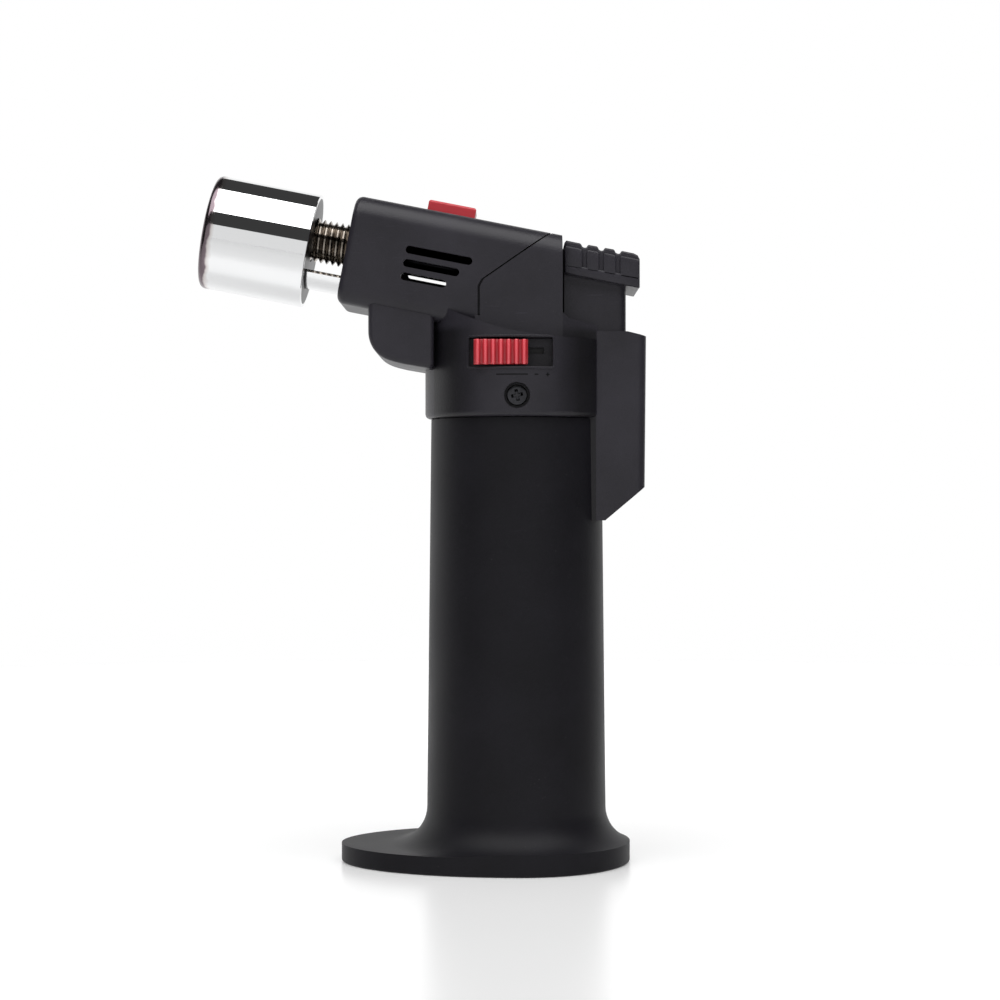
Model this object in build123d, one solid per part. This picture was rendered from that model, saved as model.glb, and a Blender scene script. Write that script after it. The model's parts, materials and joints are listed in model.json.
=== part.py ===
"""Hand-held refillable butane torch: millimetres, +Z up, burner towards -X.

The origin is on the handle's axis, in the plane that the foot stands on.
The head leans back, so its parts are made along +X in a frame of their own,
which on_head() then turns and moves to the burner's axis.
"""
import os
from math import atan, cos, pi, radians, sin, sqrt, tan

from build123d import *

# Handle, foot and fuel tank
HANDLE_TOP_R = 18.7
HANDLE_LOW_R = 19.6
HANDLE_TOP_Z = 96.6
SPIGOT_R = 18.2
SPIGOT_LONG = 4.0
FLARE_R = 8.0
FOOT_H = 4.0
FLARE_TOP_Z = FOOT_H + FLARE_R
FOOT_R = 24.1
FOOT_FRONT = 39.15
FOOT_CENTRE_X = 0.8
FOOT_EDGE = 0.5
CAVITY_R = 17.2
CAVITY_TOP_Z = 94.4
DECK_HOLE_R = 13.2
NECK_R = 16.9
NECK_WALL = 1.4
NECK_TOP_Z = 103.5
NECK_BOSS_R = 2.3
NECK_BOSS_Y = 12.0
COVER_INSET = 2.4
COVER_T = 1.8
REFILL_HOLE_R = 5.0
TANK_R = 17.0
TANK_WALL = 1.5
TANK_BOTTOM_Z = 3.0
TANK_TOP_Z = 92.4

# Head, in its own frame: x runs back along the burner, z is square to it
HEAD_TILT = 11.0
HEAD_X = -44.86
HEAD_Z = 133.69
HEAD_HALF = 13.5
HEAD_TOP = 12.9
HEAD_BOTTOM = -10.8
HEAD_FRONT = 8.2
HEAD_LONG = 58.0
HEAD_TOP_ROUND = 5.0
HEAD_LOW_ROUND = 3.6
WALL = 1.6
FRONT_WALL = 2.0
BURNER_UP = 2.6
SEAM = 0.5
SKIRT_WALL = 0.8

# Shells, in the row's frame
BAND_R = 20.0
BAND_WALL = 1.8
BAND_BOTTOM_Z = 96.8
BAND_LIP = 1.1
SLIT_X = 9.8
SPINE_HALF = 10.0
SPINE_WALL = 1.2
SPINE_BACK_X = 28.0
CHEEK_END_X = 17.3
CHEEK_LOW_Z = 113.0
LOBE_HALF = 12.6
LOBE_REAR_X = -17.8
LOBE_EDGE = 1.3
LOBE_NECK_HALF = 8.2

# Guard and burner
GUARD_R = 12.5
GUARD_WALL = 0.8
GUARD_LONG = 22.9
TROUGH_R = 8.3
TROUGH_WALL = 1.0
TROUGH_HALF_ANGLE = 52.0
TROUGH_LONG = 16.0
THREAD_R = 4.8
THREAD_ROOT_R = 4.05
THREAD_PITCH = 1.3
THREAD_START = -1.0
THREAD_CRESTS = 12
TUBE_R = 3.7
TUBE_BORE_R = 3.0
TUBE_TIP = -12.0
TUBE_REAR = 36.0
ELECTRODE_DOWN = -5.7
JET_PIPE_X = 41.8
ELECTRODE_REAR = 24.0

# Controls
TRIGGER_FRONT_X = 10.3
TONGUE_X = 9.0
TONGUE_HALF = 2.8
TONGUE_LOW_Z = 111.8
TONGUE_HIGH_Z = 133.9
TRIGGER_BACK_X = 23.7
TRIGGER_HALF = 8.3
TRIGGER_FOOT_Z = 110.6
CAP_FRONT_X = 10.3
CAP_BACK_X = 26.5
CAP_TOP_Z = 135.0
CAP_SLOPE = 0.181
CAP_HALF = 10.5
LEVER_X = 4.8
LEVER_Z = 107.0
LEVER_REST = 15.0
LEVER_REAR_ARM = 9.66
LEVER_HALF = 2.7
TIP_R = 1.0
PIN_R = 1.0
LOCK_TRAVEL = 3.0
LOCK_FRONT = 23.3
LOCK_BACK = 33.8
LOCK_TOP = 15.7
LOCK_HALF = 4.2
SLIDER_LEFT_X = -9.15
SLIDER_RIGHT_X = 2.3
SLIDER_LOW_Z = 107.7
SLIDER_HIGH_Z = 113.0
SLIDER_FACE_Y = -20.4
SLIDE_PLATE_Y = -13.2
RIDGES = 7
GEAR_MODULE = 0.8
GEAR_TEETH = 16
GEAR_LOW_Z = 98.2
GEAR_HIGH_Z = 100.7
GEAR_SLACK = 0.12
RACK_TEETH = 7

# Valves, piezo igniter and screws
VALVE_STEM_R = 0.9
VALVE_BORE_R = 2.1
VALVE_NECK_R = 3.2
VALVE_TOP_Z = 104.6
PIPE_Z = 103.2
PIPE_R = 0.9
HOSE_R = 1.7
RUN_GAP = 0.05
PIEZO_X = 22.3
PIEZO_LOW_Z = 85.6
PIEZO_HIGH_Z = 104.8
PIEZO_LONG_Y = 10.8
PIEZO_WIDE_X = 6.2
WIRE_R = 0.8
SCREW_SHANK_R = 1.4
SCREW_HEAD_R = 2.2
COLLAR_SCREW_Z = 101.2
SHELL_SCREWS = ((-25.0, 114.0), (22.5, 82.2))
BASE_SCREWS = ((-22.5, 0.0), (9.7, 16.8), (9.7, -16.8))
BASE_SCREW_R = 1.1
BASE_SCREW_TOP_Z = 3.3

BIG = 120.0


def on_head(shape):
    """Turn and move a shape from the head's own frame to the row's frame."""
    return Location((HEAD_X, 0, HEAD_Z), (0, HEAD_TILT, 0)) * shape


def head_point(x, y, z):
    """A point of the head's frame, in the row's frame."""
    tilt = radians(HEAD_TILT)
    return (HEAD_X + x * cos(tilt) + z * sin(tilt), y, HEAD_Z - x * sin(tilt) + z * cos(tilt))


def rod(radius, low, high, direction="Z", at=(0.0, 0.0)):
    """A cylinder from low to high along an axis, with at on the two other axes."""
    solid = Pos(0, 0, (low + high) / 2) * Cylinder(radius, high - low)
    if direction == "X":
        return Pos(0, at[0], at[1]) * Rot(0, 90, 0) * solid
    if direction == "Y":
        return Pos(at[0], 0, at[1]) * Rot(-90, 0, 0) * solid
    return Pos(at[0], at[1], 0) * solid


def block(x, y, z):
    """A box from pairs of low and high limits."""
    size = [high - low for low, high in (x, y, z)]
    middle = [(high + low) / 2 for low, high in (x, y, z)]
    return Pos(*middle) * Box(*size)


def side_prism(points, half):
    """An outline of x and z points, as thick as twice half about y = 0."""
    outline = Plane.XZ * Polygon(*points, align=None)
    return extrude(outline, half, both=True)


def turned(points):
    """A closed outline of radius and z points, turned about the Z axis."""
    outline = Plane.XZ * Polygon(*points, align=None)
    return revolve(outline, Axis.Z)


def coil(radius, wire, low, high, turns):
    """A compression spring about the Z axis."""
    path = Helix(pitch=(high - low - 2 * wire) / turns, height=high - low - 2 * wire, radius=radius)
    section = Plane(origin=path @ 0, z_dir=path % 0) * Circle(wire)
    return Pos(0, 0, low + wire) * sweep(section, path=path, is_frenet=True)


def tube_along(points, radii, radius):
    """A round rod along straight runs joined by tangent arcs."""
    path = FilletPolyline(*points, radius=radii)
    section = Plane(origin=path @ 0, z_dir=path % 0) * Circle(radius)
    return sweep(section, path=path)


# ---------------------------------------------------------------- handle


def egg(inset):
    """The foot's plan: a half circle behind, a long half ellipse in front."""
    back = Circle(FOOT_R - inset) & Pos(BIG / 2, 0) * Rectangle(BIG, BIG)
    front = Ellipse(FOOT_FRONT - inset, FOOT_R - inset) & Pos(-BIG / 2, 0) * Rectangle(BIG, BIG)
    return Pos(FOOT_CENTRE_X, 0) * (back + front)


def flared_foot():
    """The standing foot up to the top of its flare, with a socket for the casing."""
    arc = JernArc((HANDLE_LOW_R, FLARE_TOP_Z), (0, -1), FLARE_R, 90)
    runs = Polyline((HANDLE_LOW_R + FLARE_R, FOOT_H), (0, FOOT_H), (0, FLARE_TOP_Z),
                    (HANDLE_LOW_R, FLARE_TOP_Z))
    flare = revolve(Plane.XZ * make_face([arc, runs]), Axis.Z)
    plate = extrude(egg(0), FOOT_H)
    foot = (plate + flare) & extrude(egg(0), BIG)
    rim = foot.edges().filter_by(lambda edge: edge.center().Z < FOOT_EDGE)
    foot = fillet(rim, FOOT_EDGE)
    foot -= rod(CAVITY_R, -1, BIG)
    foot -= rod(SPIGOT_R, FLARE_TOP_Z - SPIGOT_LONG, BIG)
    foot -= extrude(egg(COVER_INSET), COVER_T)
    for x, y in BASE_SCREWS:
        foot -= rod(BASE_SCREW_R, 0, BASE_SCREW_TOP_Z + 0.1, at=(x, y))
    return foot


def handle_casing():
    """The grip, with a spigot below and the collar that carries the shells above."""
    casing = turned(((0, FLARE_TOP_Z), (HANDLE_LOW_R, FLARE_TOP_Z),
                     (HANDLE_TOP_R, HANDLE_TOP_Z), (0, HANDLE_TOP_Z)))
    casing += rod(SPIGOT_R, FLARE_TOP_Z - SPIGOT_LONG, FLARE_TOP_Z)
    casing += rod(NECK_R, HANDLE_TOP_Z - 1, NECK_TOP_Z)
    casing -= rod(NECK_R - NECK_WALL, HANDLE_TOP_Z, NECK_TOP_Z + 1)
    for side in (-1, 1):
        ends = sorted((side * (NECK_R - NECK_WALL / 2), side * NECK_BOSS_Y))
        casing += rod(NECK_BOSS_R, *ends, direction="Y", at=(0, COLLAR_SCREW_Z))
    casing -= rod(SCREW_SHANK_R, -BIG, BIG, direction="Y", at=(0, COLLAR_SCREW_Z))
    casing -= block((0, BIG), (-7, 7), (HANDLE_TOP_Z, BIG))
    casing -= rod(CAVITY_R, -1, CAVITY_TOP_Z)
    return casing - rod(DECK_HOLE_R, CAVITY_TOP_Z - 1, HANDLE_TOP_Z + 1)


def base_cover():
    plate = extrude(egg(COVER_INSET + 0.1), COVER_T)
    plate -= rod(REFILL_HOLE_R, -1, COVER_T + 1)
    for x, y in BASE_SCREWS:
        plate -= rod(1.2, -1, COVER_T + 1, at=(x, y))
        plate -= rod(2.0, -1, 1.0, at=(x, y))
    return plate


def base_screws():
    group = []
    for x, y in BASE_SCREWS:
        screw = rod(1.9, 0.15, 1.0, at=(x, y)) + rod(BASE_SCREW_R, 0.9, BASE_SCREW_TOP_Z, at=(x, y))
        screw -= block((x - 1.2, x + 1.2), (y - 0.25, y + 0.25), (0, 0.5))
        screw -= block((x - 0.25, x + 0.25), (y - 1.2, y + 1.2), (0, 0.5))
        group.append(screw)
    return Compound(children=group)


def tank_ring():
    return rod(15.0, COVER_T, TANK_BOTTOM_Z) - rod(10.0, 0, BIG)


def fuel_tank():
    tank = rod(TANK_R, TANK_BOTTOM_Z, TANK_TOP_Z)
    tank -= rod(TANK_R - TANK_WALL, TANK_BOTTOM_Z + 2, TANK_TOP_Z + 1)
    tank += rod(6.5, TANK_BOTTOM_Z, 12)
    return tank - rod(4.0, 0, 13)


def tank_cap():
    lid = rod(TANK_R, TANK_TOP_Z, CAVITY_TOP_Z - 0.1)
    lid += rod(TANK_R - TANK_WALL - 0.1, TANK_TOP_Z - 2, TANK_TOP_Z)
    lid += rod(DECK_HOLE_R - 0.2, CAVITY_TOP_Z - 0.2, HANDLE_TOP_Z)
    return lid - rod(5.0, 0, BIG)


def refill_valve_body():
    body = rod(3.98, 2.6, 16) - rod(VALVE_BORE_R, 4.5, 15)
    body -= rod(VALVE_STEM_R + RUN_GAP, 2, 5)
    return body - rod(1.0, 14, 17)


def refill_stem():
    return rod(VALVE_STEM_R, 2.4, 6.3) + rod(VALVE_BORE_R - RUN_GAP, 6.2, 8.0)


def refill_spring():
    return coil(1.5, 0.22, 8.1, 14.9, 6)


# ------------------------------------------------------- valve and flow wheel


def outlet_valve_body():
    body = rod(4.9, 86, 96.7) + rod(6.2, HANDLE_TOP_Z, 97.8)
    body += rod(VALVE_NECK_R, 97, VALVE_TOP_Z)
    body += rod(2.2, 82, 86)
    body += rod(PIPE_R, -8.0, -VALVE_NECK_R + 0.5, direction="X", at=(0, PIPE_Z))
    body -= rod(VALVE_BORE_R, 88, 101)
    body -= rod(VALVE_STEM_R + RUN_GAP, 100, BIG)
    return body - rod(1.0, 81, 89)


def valve_stem():
    stem = rod(VALVE_BORE_R - RUN_GAP, 89, 91) + rod(VALVE_STEM_R, 90, 107.2)
    return stem + rod(2.6, 107.05, 108.05)


def valve_spring():
    return coil(1.45, 0.22, 91.1, 100.9, 8)


def gas_filter():
    return rod(3.4, 76, 86) - rod(2.2, 81.9, 87)


def fuel_wick():
    return rod(1.2, 20, 76)


def flow_wheel():
    """A 16-tooth wheel with involute flanks, thinned a little for slack."""
    pitch_r = GEAR_MODULE * GEAR_TEETH / 2
    base_r = pitch_r * cos(radians(20))
    root_r = pitch_r - 1.0
    tip_r = pitch_r + 0.62
    half_at_pitch = pi / (2 * GEAR_TEETH) - GEAR_SLACK / 2 / pitch_r
    involute = tan(radians(20)) - radians(20)

    def half_angle(radius):
        pressure = sqrt(max((radius / base_r) ** 2 - 1, 0))
        return half_at_pitch + involute - (pressure - atan(pressure))

    stations = [root_r, base_r, (base_r + pitch_r) / 2, pitch_r, (pitch_r + tip_r) / 2, tip_r]
    outline = []
    for tooth in range(GEAR_TEETH):
        middle = 2 * pi * tooth / GEAR_TEETH - pi / 2
        for radius in stations:
            angle = middle - half_angle(max(radius, base_r))
            outline.append((radius * cos(angle), radius * sin(angle)))
        for radius in reversed(stations):
            angle = middle + half_angle(max(radius, base_r))
            outline.append((radius * cos(angle), radius * sin(angle)))
    wheel = extrude(Polygon(*outline, align=None), GEAR_HIGH_Z - GEAR_LOW_Z)
    return Pos(0, 0, GEAR_LOW_Z + 0.6) * wheel - rod(VALVE_NECK_R + RUN_GAP, 0, BIG)


def flame_knob():
    """The ridged knob, with its stalk through the window."""
    knob = block((SLIDER_LEFT_X, SLIDER_RIGHT_X), (SLIDER_FACE_Y, -18.4), (SLIDER_LOW_Z, SLIDER_HIGH_Z))
    pitch = (SLIDER_RIGHT_X - SLIDER_LEFT_X) / (RIDGES - 0.4)
    for number in range(RIDGES - 1):
        left = SLIDER_LEFT_X + (number + 0.6) * pitch
        knob -= block((left, left + 0.4 * pitch), (SLIDER_FACE_Y - 1, SLIDER_FACE_Y + 0.6), (0, BIG * 2))
    return knob + block((-7.0, 0.5), (-18.5, SLIDE_PLATE_Y), (110.35, 111.35))


def slider_rack():
    """The plate behind the window, with the arm and rack that turn the wheel."""
    rack = block((-12.2, 6.6), (SLIDE_PLATE_Y, SLIDE_PLATE_Y + 1.2), (109.6, 112.0))
    rack += block((-10.4, -7.0), (SLIDE_PLATE_Y + 1.1, -10.0), (109.6, 111.0))
    rack += block((-10.4, -7.0), (-11.2, -10.0), (98.9, 110.0))
    pitch_y = -GEAR_MODULE * GEAR_TEETH / 2
    step = pi * GEAR_MODULE
    root_y = pitch_y - 0.95
    tip_y = pitch_y + 0.62
    low, high = GEAR_LOW_Z + 0.7, GEAR_HIGH_Z + 0.5
    rack += block((-10.4, 4.6), (-10.4, root_y), (low, high))
    slope = tan(radians(20))
    half = step / 4 - GEAR_SLACK / 2
    foot = half + (pitch_y - root_y) * slope
    tip = half - (tip_y - pitch_y) * slope
    for number in range(RACK_TEETH):
        middle = (number - RACK_TEETH / 2 - 1) * step + step
        if middle + foot > 4.6:
            continue
        tooth = Polygon((middle - foot, root_y - 0.1), (middle + foot, root_y - 0.1),
                        (middle + tip, tip_y), (middle - tip, tip_y), align=None)
        rack += Pos(0, 0, low) * extrude(tooth, high - low)
    return rack


# ---------------------------------------------------------------- head


def head_prism(inset, front, back):
    """The head's rounded block, less an inset all round, between two x planes."""
    size = (HEAD_TOP - HEAD_BOTTOM - 2 * inset, 2 * (HEAD_HALF - inset))
    centre_z = (HEAD_TOP + HEAD_BOTTOM) / 2
    solid = Pos((front + back) / 2, 0, centre_z) * Box(back - front, size[1], size[0])
    along = solid.edges().filter_by(Axis.X)
    solid = fillet(along.filter_by(lambda edge: edge.center().Z > centre_z), HEAD_TOP_ROUND - inset)
    along = solid.edges().filter_by(Axis.X)
    low_edges = along.filter_by(lambda edge: edge.center().Z < HEAD_BOTTOM + inset + 0.01)
    return fillet(low_edges, HEAD_LOW_ROUND - inset)


def ahead_of_seam(shift):
    """All that lies in front of the seam between nose and shells, moved by shift."""
    points = ((6.13 + 12.0, 144.3), (6.13, 135.83), (-7.6, 126.3), (-8.4, 124.8), (-8.4, 100.0),
              (-BIG, 100.0), (-BIG, BIG * 2), (6.13 + 12.0, BIG * 2))
    return side_prism([(x + shift, z) for x, z in points], 30)


def nose_cover():
    solid = head_prism(0, HEAD_FRONT, HEAD_LONG)
    rim = solid.faces().sort_by(Axis.X)[0].edges()
    solid = fillet(rim, 1.6)
    solid -= head_prism(WALL, HEAD_FRONT + FRONT_WALL, HEAD_LONG + 1)
    solid -= rod(8.7, 0, HEAD_FRONT + 3, direction="X")
    for front, back, height in ((20.9, 35.4, 3.1), (20.9, 33.1, 0.2), (20.9, 30.8, -2.7)):
        slot = Plane.XZ * Pos((front + back) / 2, height) * SlotOverall(back - front, 1.7)
        solid -= extrude(slot, 20, both=True)
    gap = 0.15
    solid -= block((LOCK_FRONT - gap, LOCK_BACK + LOCK_TRAVEL + gap), (-LOCK_HALF - gap, LOCK_HALF + gap),
                   (HEAD_TOP - WALL - 1, HEAD_TOP + 1))
    cover = on_head(solid) & ahead_of_seam(0)
    skirt = head_prism(WALL, HEAD_FRONT, HEAD_LONG) - head_prism(WALL + SKIRT_WALL, 0, HEAD_LONG + 1)
    skirt &= block((20, HEAD_LONG), (-BIG, BIG), (-7.5, 7.5))
    skirt = (on_head(skirt) & ahead_of_seam(2.0)) - ahead_of_seam(-1.5)
    return cover + skirt


def lock_button():
    top = block((LOCK_FRONT, LOCK_BACK), (-LOCK_HALF, LOCK_HALF), (10.9, LOCK_TOP))
    top = fillet(top.edges().filter_by(lambda edge: edge.center().Z > LOCK_TOP - 0.01), 0.6)
    top += block((21.5, 36.2), (-6, 6), (10.0, 11.1))
    top += block((36, 48), (-2, 2), (10.0, 11.0))
    return on_head(top)


def lobe_outer():
    """The throat under the head, which hides the gas hose."""
    keel = Spline((-31.9, 116.5), (-31.7, 113.6), (-30.7, 111.4), (-28.5, 109.5), (-25.5, 108.5),
                  (LOBE_REAR_X, 107.1), tangents=((0, -1), (1, -0.18)))
    back = Polyline((LOBE_REAR_X, 107.1), (LOBE_REAR_X, 130), (-31.9, 130), (-31.9, 116.5))
    lobe = extrude(Plane.XZ * make_face([keel, back]), LOBE_HALF, both=True)
    rims = lobe.edges().filter_by(lambda edge: abs(edge.center().Y) > LOBE_HALF - 0.1)
    rims = rims.filter_by(lambda edge: edge.center().X < LOBE_REAR_X - 1 and edge.center().Z < 129)
    lobe = fillet(rims, LOBE_EDGE)
    rear_edges = lobe.edges().filter_by(Axis.Z).filter_by(lambda edge: edge.center().X > LOBE_REAR_X - 0.1)
    lobe = fillet(rear_edges, 1.0)
    return lobe + block((LOBE_REAR_X - 1, -10), (-LOBE_NECK_HALF, LOBE_NECK_HALF), (107.2, 130))


def shell_outer():
    """The two body shells as one outer block."""
    band = rod(BAND_R, BAND_BOTTOM_Z, 130)
    band = fillet(band.edges().filter_by(lambda edge: edge.center().Z < BAND_BOTTOM_Z + 0.1), BAND_LIP)
    shoulder = Spline((-24, 124.5), (-14, 119.6), (-3, 115.4), (6, 113.95), (24, 113.8))
    cap = Polyline((24, 113.8), (24, 140), (-24, 140), (-24, 124.5))
    band -= extrude(Plane.XZ * make_face([shoulder, cap]), 30, both=True)
    head = on_head(head_prism(0, HEAD_FRONT, HEAD_LONG)) & block((-BIG, SLIT_X), (-BIG, BIG), (108, BIG * 2))
    head -= ahead_of_seam(SEAM)
    spine = side_prism(((0, 115.6), (23.9, 115.4), (SPINE_BACK_X, 114.4), (SPINE_BACK_X - 0.3, 81.9),
                        (19.07, 74.65), (0, 74.65)), SPINE_HALF)
    back_edges = spine.edges().filter_by(lambda edge: edge.center().X > SPINE_BACK_X - 0.5)
    spine = fillet(back_edges.filter_by(lambda edge: edge.length > 25), 2.2)
    cheek = Polygon((-9, -HEAD_HALF), (SLIT_X, -HEAD_HALF), (CHEEK_END_X, -SPINE_HALF),
                    (CHEEK_END_X, SPINE_HALF), (SLIT_X, HEAD_HALF), (-9, HEAD_HALF), align=None)
    cheeks = Pos(0, 0, CHEEK_LOW_Z) * extrude(cheek, 12)
    cheek_top = ((-9, 100), (24, 100), (24, 115.4), (11.17, 117.96), (9.8, 119.25), (-9, 121.0))
    cheeks &= side_prism(cheek_top, 30)
    solid = band + head + spine + cheeks + lobe_outer()
    taper = (HANDLE_LOW_R - HANDLE_TOP_R) / (HANDLE_TOP_Z - FLARE_TOP_Z)
    low_r = HANDLE_TOP_R + taper * (HANDLE_TOP_Z - 70) + RUN_GAP
    solid -= turned(((0, 70), (low_r, 70), (HANDLE_TOP_R + RUN_GAP, HANDLE_TOP_Z), (0, HANDLE_TOP_Z)))
    nose_space = on_head(head_prism(-RUN_GAP, HEAD_FRONT - 2, HEAD_LONG)) & ahead_of_seam(SEAM)
    return solid - nose_space


def shell_inner():
    """The hollow of the two body shells."""
    inner_r = BAND_R - BAND_WALL
    band = rod(inner_r, 90, 130)
    shoulder = Spline((-24, 122.7), (-14, 117.8), (-3, 113.6), (6, 112.35), (24, 112.2))
    cap = Polyline((24, 112.2), (24, 140), (-24, 140), (-24, 122.7))
    band -= extrude(Plane.XZ * make_face([shoulder, cap]), 30, both=True)
    head = on_head(head_prism(WALL, HEAD_FRONT, HEAD_LONG))
    head &= block((-BIG, SLIT_X - WALL), (-BIG, BIG), (90, BIG * 2))
    spine = side_prism(((0, 113.9), (SPINE_BACK_X - 1.7, 113.0), (SPINE_BACK_X - 2.0, 82.6),
                        (19.2, 76.6), (0, 76.6)), SPINE_HALF - SPINE_WALL)
    reach_y = TRIGGER_HALF + 0.3
    opening = block((TRIGGER_FRONT_X - 0.3, TRIGGER_BACK_X + 0.3), (-reach_y, reach_y), (100, 140))
    opening += block((TONGUE_X - 0.15, TRIGGER_FRONT_X), (-TONGUE_HALF - 0.2, TONGUE_HALF + 0.2),
                     (TONGUE_LOW_Z - 6, TONGUE_HIGH_Z + 0.5))
    lobe_rear_x = LOBE_REAR_X - SPINE_WALL
    lobe = side_prism(((-30.6, 130), (-30.6, 115.4), (-29.5, 112.6), (-27.6, 110.6), (lobe_rear_x, 108.8),
                       (lobe_rear_x, 130)), LOBE_HALF - SPINE_WALL)
    neck_half = LOBE_NECK_HALF - SPINE_WALL
    lobe += block((lobe_rear_x - 1, -8), (-neck_half, neck_half), (108.8, 130))
    under_head = on_head(block((30, 60), (-12, 12), (HEAD_BOTTOM - 6, HEAD_BOTTOM + 3)))
    under_head &= block((-9, SLIT_X - WALL), (-BIG, BIG), (100, BIG * 2))
    under_head &= rod(inner_r, 90, 130)
    return band + head + spine + opening + lobe + under_head


def window_cut():
    """The slider's window, through the band's near wall only."""
    return block((-10.2, 7.6), (-22, -12), (107.25, 113.5))


def window_floor():
    """The wall behind the window, slotted for the knob's stalk."""
    floor = block((-10.8, 10.6), (-15.2, -14.0), (105.0, 113.4))
    return floor - block((-7.3, 5.8), (-16, -13), (110.2, 111.5))


def body_shell(side):
    """One body shell: side is -1 for the left shell, 1 for the right one."""
    shell = shell_outer() - shell_inner()
    keep = sorted((0, side * 40))
    shell &= block((-BIG, BIG), keep, (0, BIG * 2))
    pad_ends = sorted((side * (BAND_R - 1), side * (NECK_R + 0.05)))
    shell += rod(4.0, *pad_ends, direction="Y", at=(0, COLLAR_SCREW_Z)) & rod(BAND_R - 0.5, 90, 110)
    shell -= rod(1.6, *sorted((0, side * BIG)), direction="Y", at=(0, COLLAR_SCREW_Z))
    shell -= rod(2.75, *sorted((side * 18.0, side * BIG)), direction="Y", at=(0, COLLAR_SCREW_Z))
    boss_ends = (-15.0, -4.6) if side < 0 else (4.6, 17.6)
    shell += rod(1.9, *boss_ends, direction="Y", at=(LEVER_X, LEVER_Z))
    shell -= rod(PIN_R + 0.02, -9.6, 9.6, direction="Y", at=(LEVER_X, LEVER_Z))
    for x, z in SHELL_SCREWS:
        half = LOBE_HALF if x < 0 else SPINE_HALF
        shell += rod(2.9, *sorted((0, side * (half - 0.4))), direction="Y", at=(x, z))
        if side > 0:
            shell -= rod(1.5, -1, BIG, direction="Y", at=(x, z))
            shell -= rod(2.4, half - 2.4, BIG, direction="Y", at=(x, z))
        else:
            shell -= rod(SCREW_SHANK_R, 3 - half, 1, direction="Y", at=(x, z))
    if side < 0:
        shell -= window_cut()
        shell += window_floor()
    return shell


def screw_along_y(x, z, head_y, tip_y, head_r):
    """A cross-head screw along Y, with its head's outer face at head_y."""
    outward = 1 if head_y > tip_y else -1
    seat_y = head_y - outward * 1.5
    screw = rod(head_r, *sorted((head_y, seat_y)), direction="Y", at=(x, z))
    screw += rod(SCREW_SHANK_R - 0.02, *sorted((seat_y, tip_y)), direction="Y", at=(x, z))
    cut = sorted((head_y + outward, head_y - outward * 0.9))
    screw -= block((x - 1.3, x + 1.3), cut, (z - 0.35, z + 0.35))
    return screw - block((x - 0.35, x + 0.35), cut, (z - 1.3, z + 1.3))


def collar_screws():
    return Compound(children=[screw_along_y(0, COLLAR_SCREW_Z, side * 19.5, side * 12.4, SCREW_HEAD_R)
                              for side in (-1, 1)])


def shell_screws():
    group = []
    for x, z in SHELL_SCREWS:
        half = LOBE_HALF if x < 0 else SPINE_HALF
        group.append(screw_along_y(x, z, half - 0.9, 3.4 - half, SCREW_HEAD_R))
    return Compound(children=group)


# ------------------------------------------------------- guard and burner


def nozzle_guard():
    shell = rod(GUARD_R, -GUARD_LONG, 0, direction="X")
    front_edge = shell.edges().sort_by(Axis.X)[0]
    shell = fillet(front_edge, 0.7)
    return on_head(shell - rod(GUARD_R - GUARD_WALL, -GUARD_LONG - 1, 1, direction="X"))


def guard_neck():
    plate = rod(GUARD_R - GUARD_WALL, -1.0, 0, direction="X")
    ring = rod(TROUGH_R, -0.5, TROUGH_LONG, direction="X")
    ring -= rod(TROUGH_R - TROUGH_WALL, -2, BIG, direction="X")
    half = radians(TROUGH_HALF_ANGLE)
    reach = 20.0
    wedge = Plane.YZ * Polygon((0, 0), (-reach * sin(half), -reach * cos(half)),
                               (reach * sin(half), -reach * cos(half)), align=None)
    wedge = Pos(-5, 0, 0) * extrude(wedge, 60)
    plate += ring & wedge
    plate -= rod(THREAD_R + 0.1, -BIG, BIG, direction="X", at=(0, BURNER_UP))
    return on_head(plate - rod(1.3, -BIG, BIG, direction="X", at=(0, ELECTRODE_DOWN)))


def burner_tube():
    outline = [(TUBE_TIP, 0), (TUBE_TIP, 4.2), (THREAD_START, 4.2)]
    for crest in range(THREAD_CRESTS):
        start = THREAD_START + crest * THREAD_PITCH
        outline += [(start, THREAD_ROOT_R), (start + 0.5 * THREAD_PITCH, THREAD_R)]
    thread_end = THREAD_START + THREAD_CRESTS * THREAD_PITCH
    outline += [(thread_end, THREAD_ROOT_R), (thread_end, TUBE_R), (TUBE_REAR, TUBE_R), (TUBE_REAR, 0)]
    solid = revolve(Plane.XZ * Polygon(*outline, align=None), Axis.X)
    solid -= rod(TUBE_BORE_R, TUBE_TIP - 1, TUBE_REAR + 1, direction="X")
    solid -= rod(1.1, -10, 10, direction="Y", at=(27, 0))
    return on_head(Pos(0, 0, BURNER_UP) * solid)


def burner_nut():
    nut = Plane.YZ * RegularPolygon(6.4, 6, major_radius=False)
    nut = Pos(10.4, 0, BURNER_UP) * extrude(nut, 3.0)
    return on_head(nut - rod(THREAD_R + 0.02, 0, 20, direction="X", at=(0, BURNER_UP)))


def flame_disc():
    disc = rod(TUBE_BORE_R, -9.5, -7.5, direction="X") - rod(0.7, -20, 0, direction="X")
    for hole in range(6):
        angle = radians(60 * hole)
        disc -= rod(0.45, -20, 0, direction="X", at=(1.9 * cos(angle), 1.9 * sin(angle)))
    return on_head(Pos(0, 0, BURNER_UP) * disc)


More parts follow.
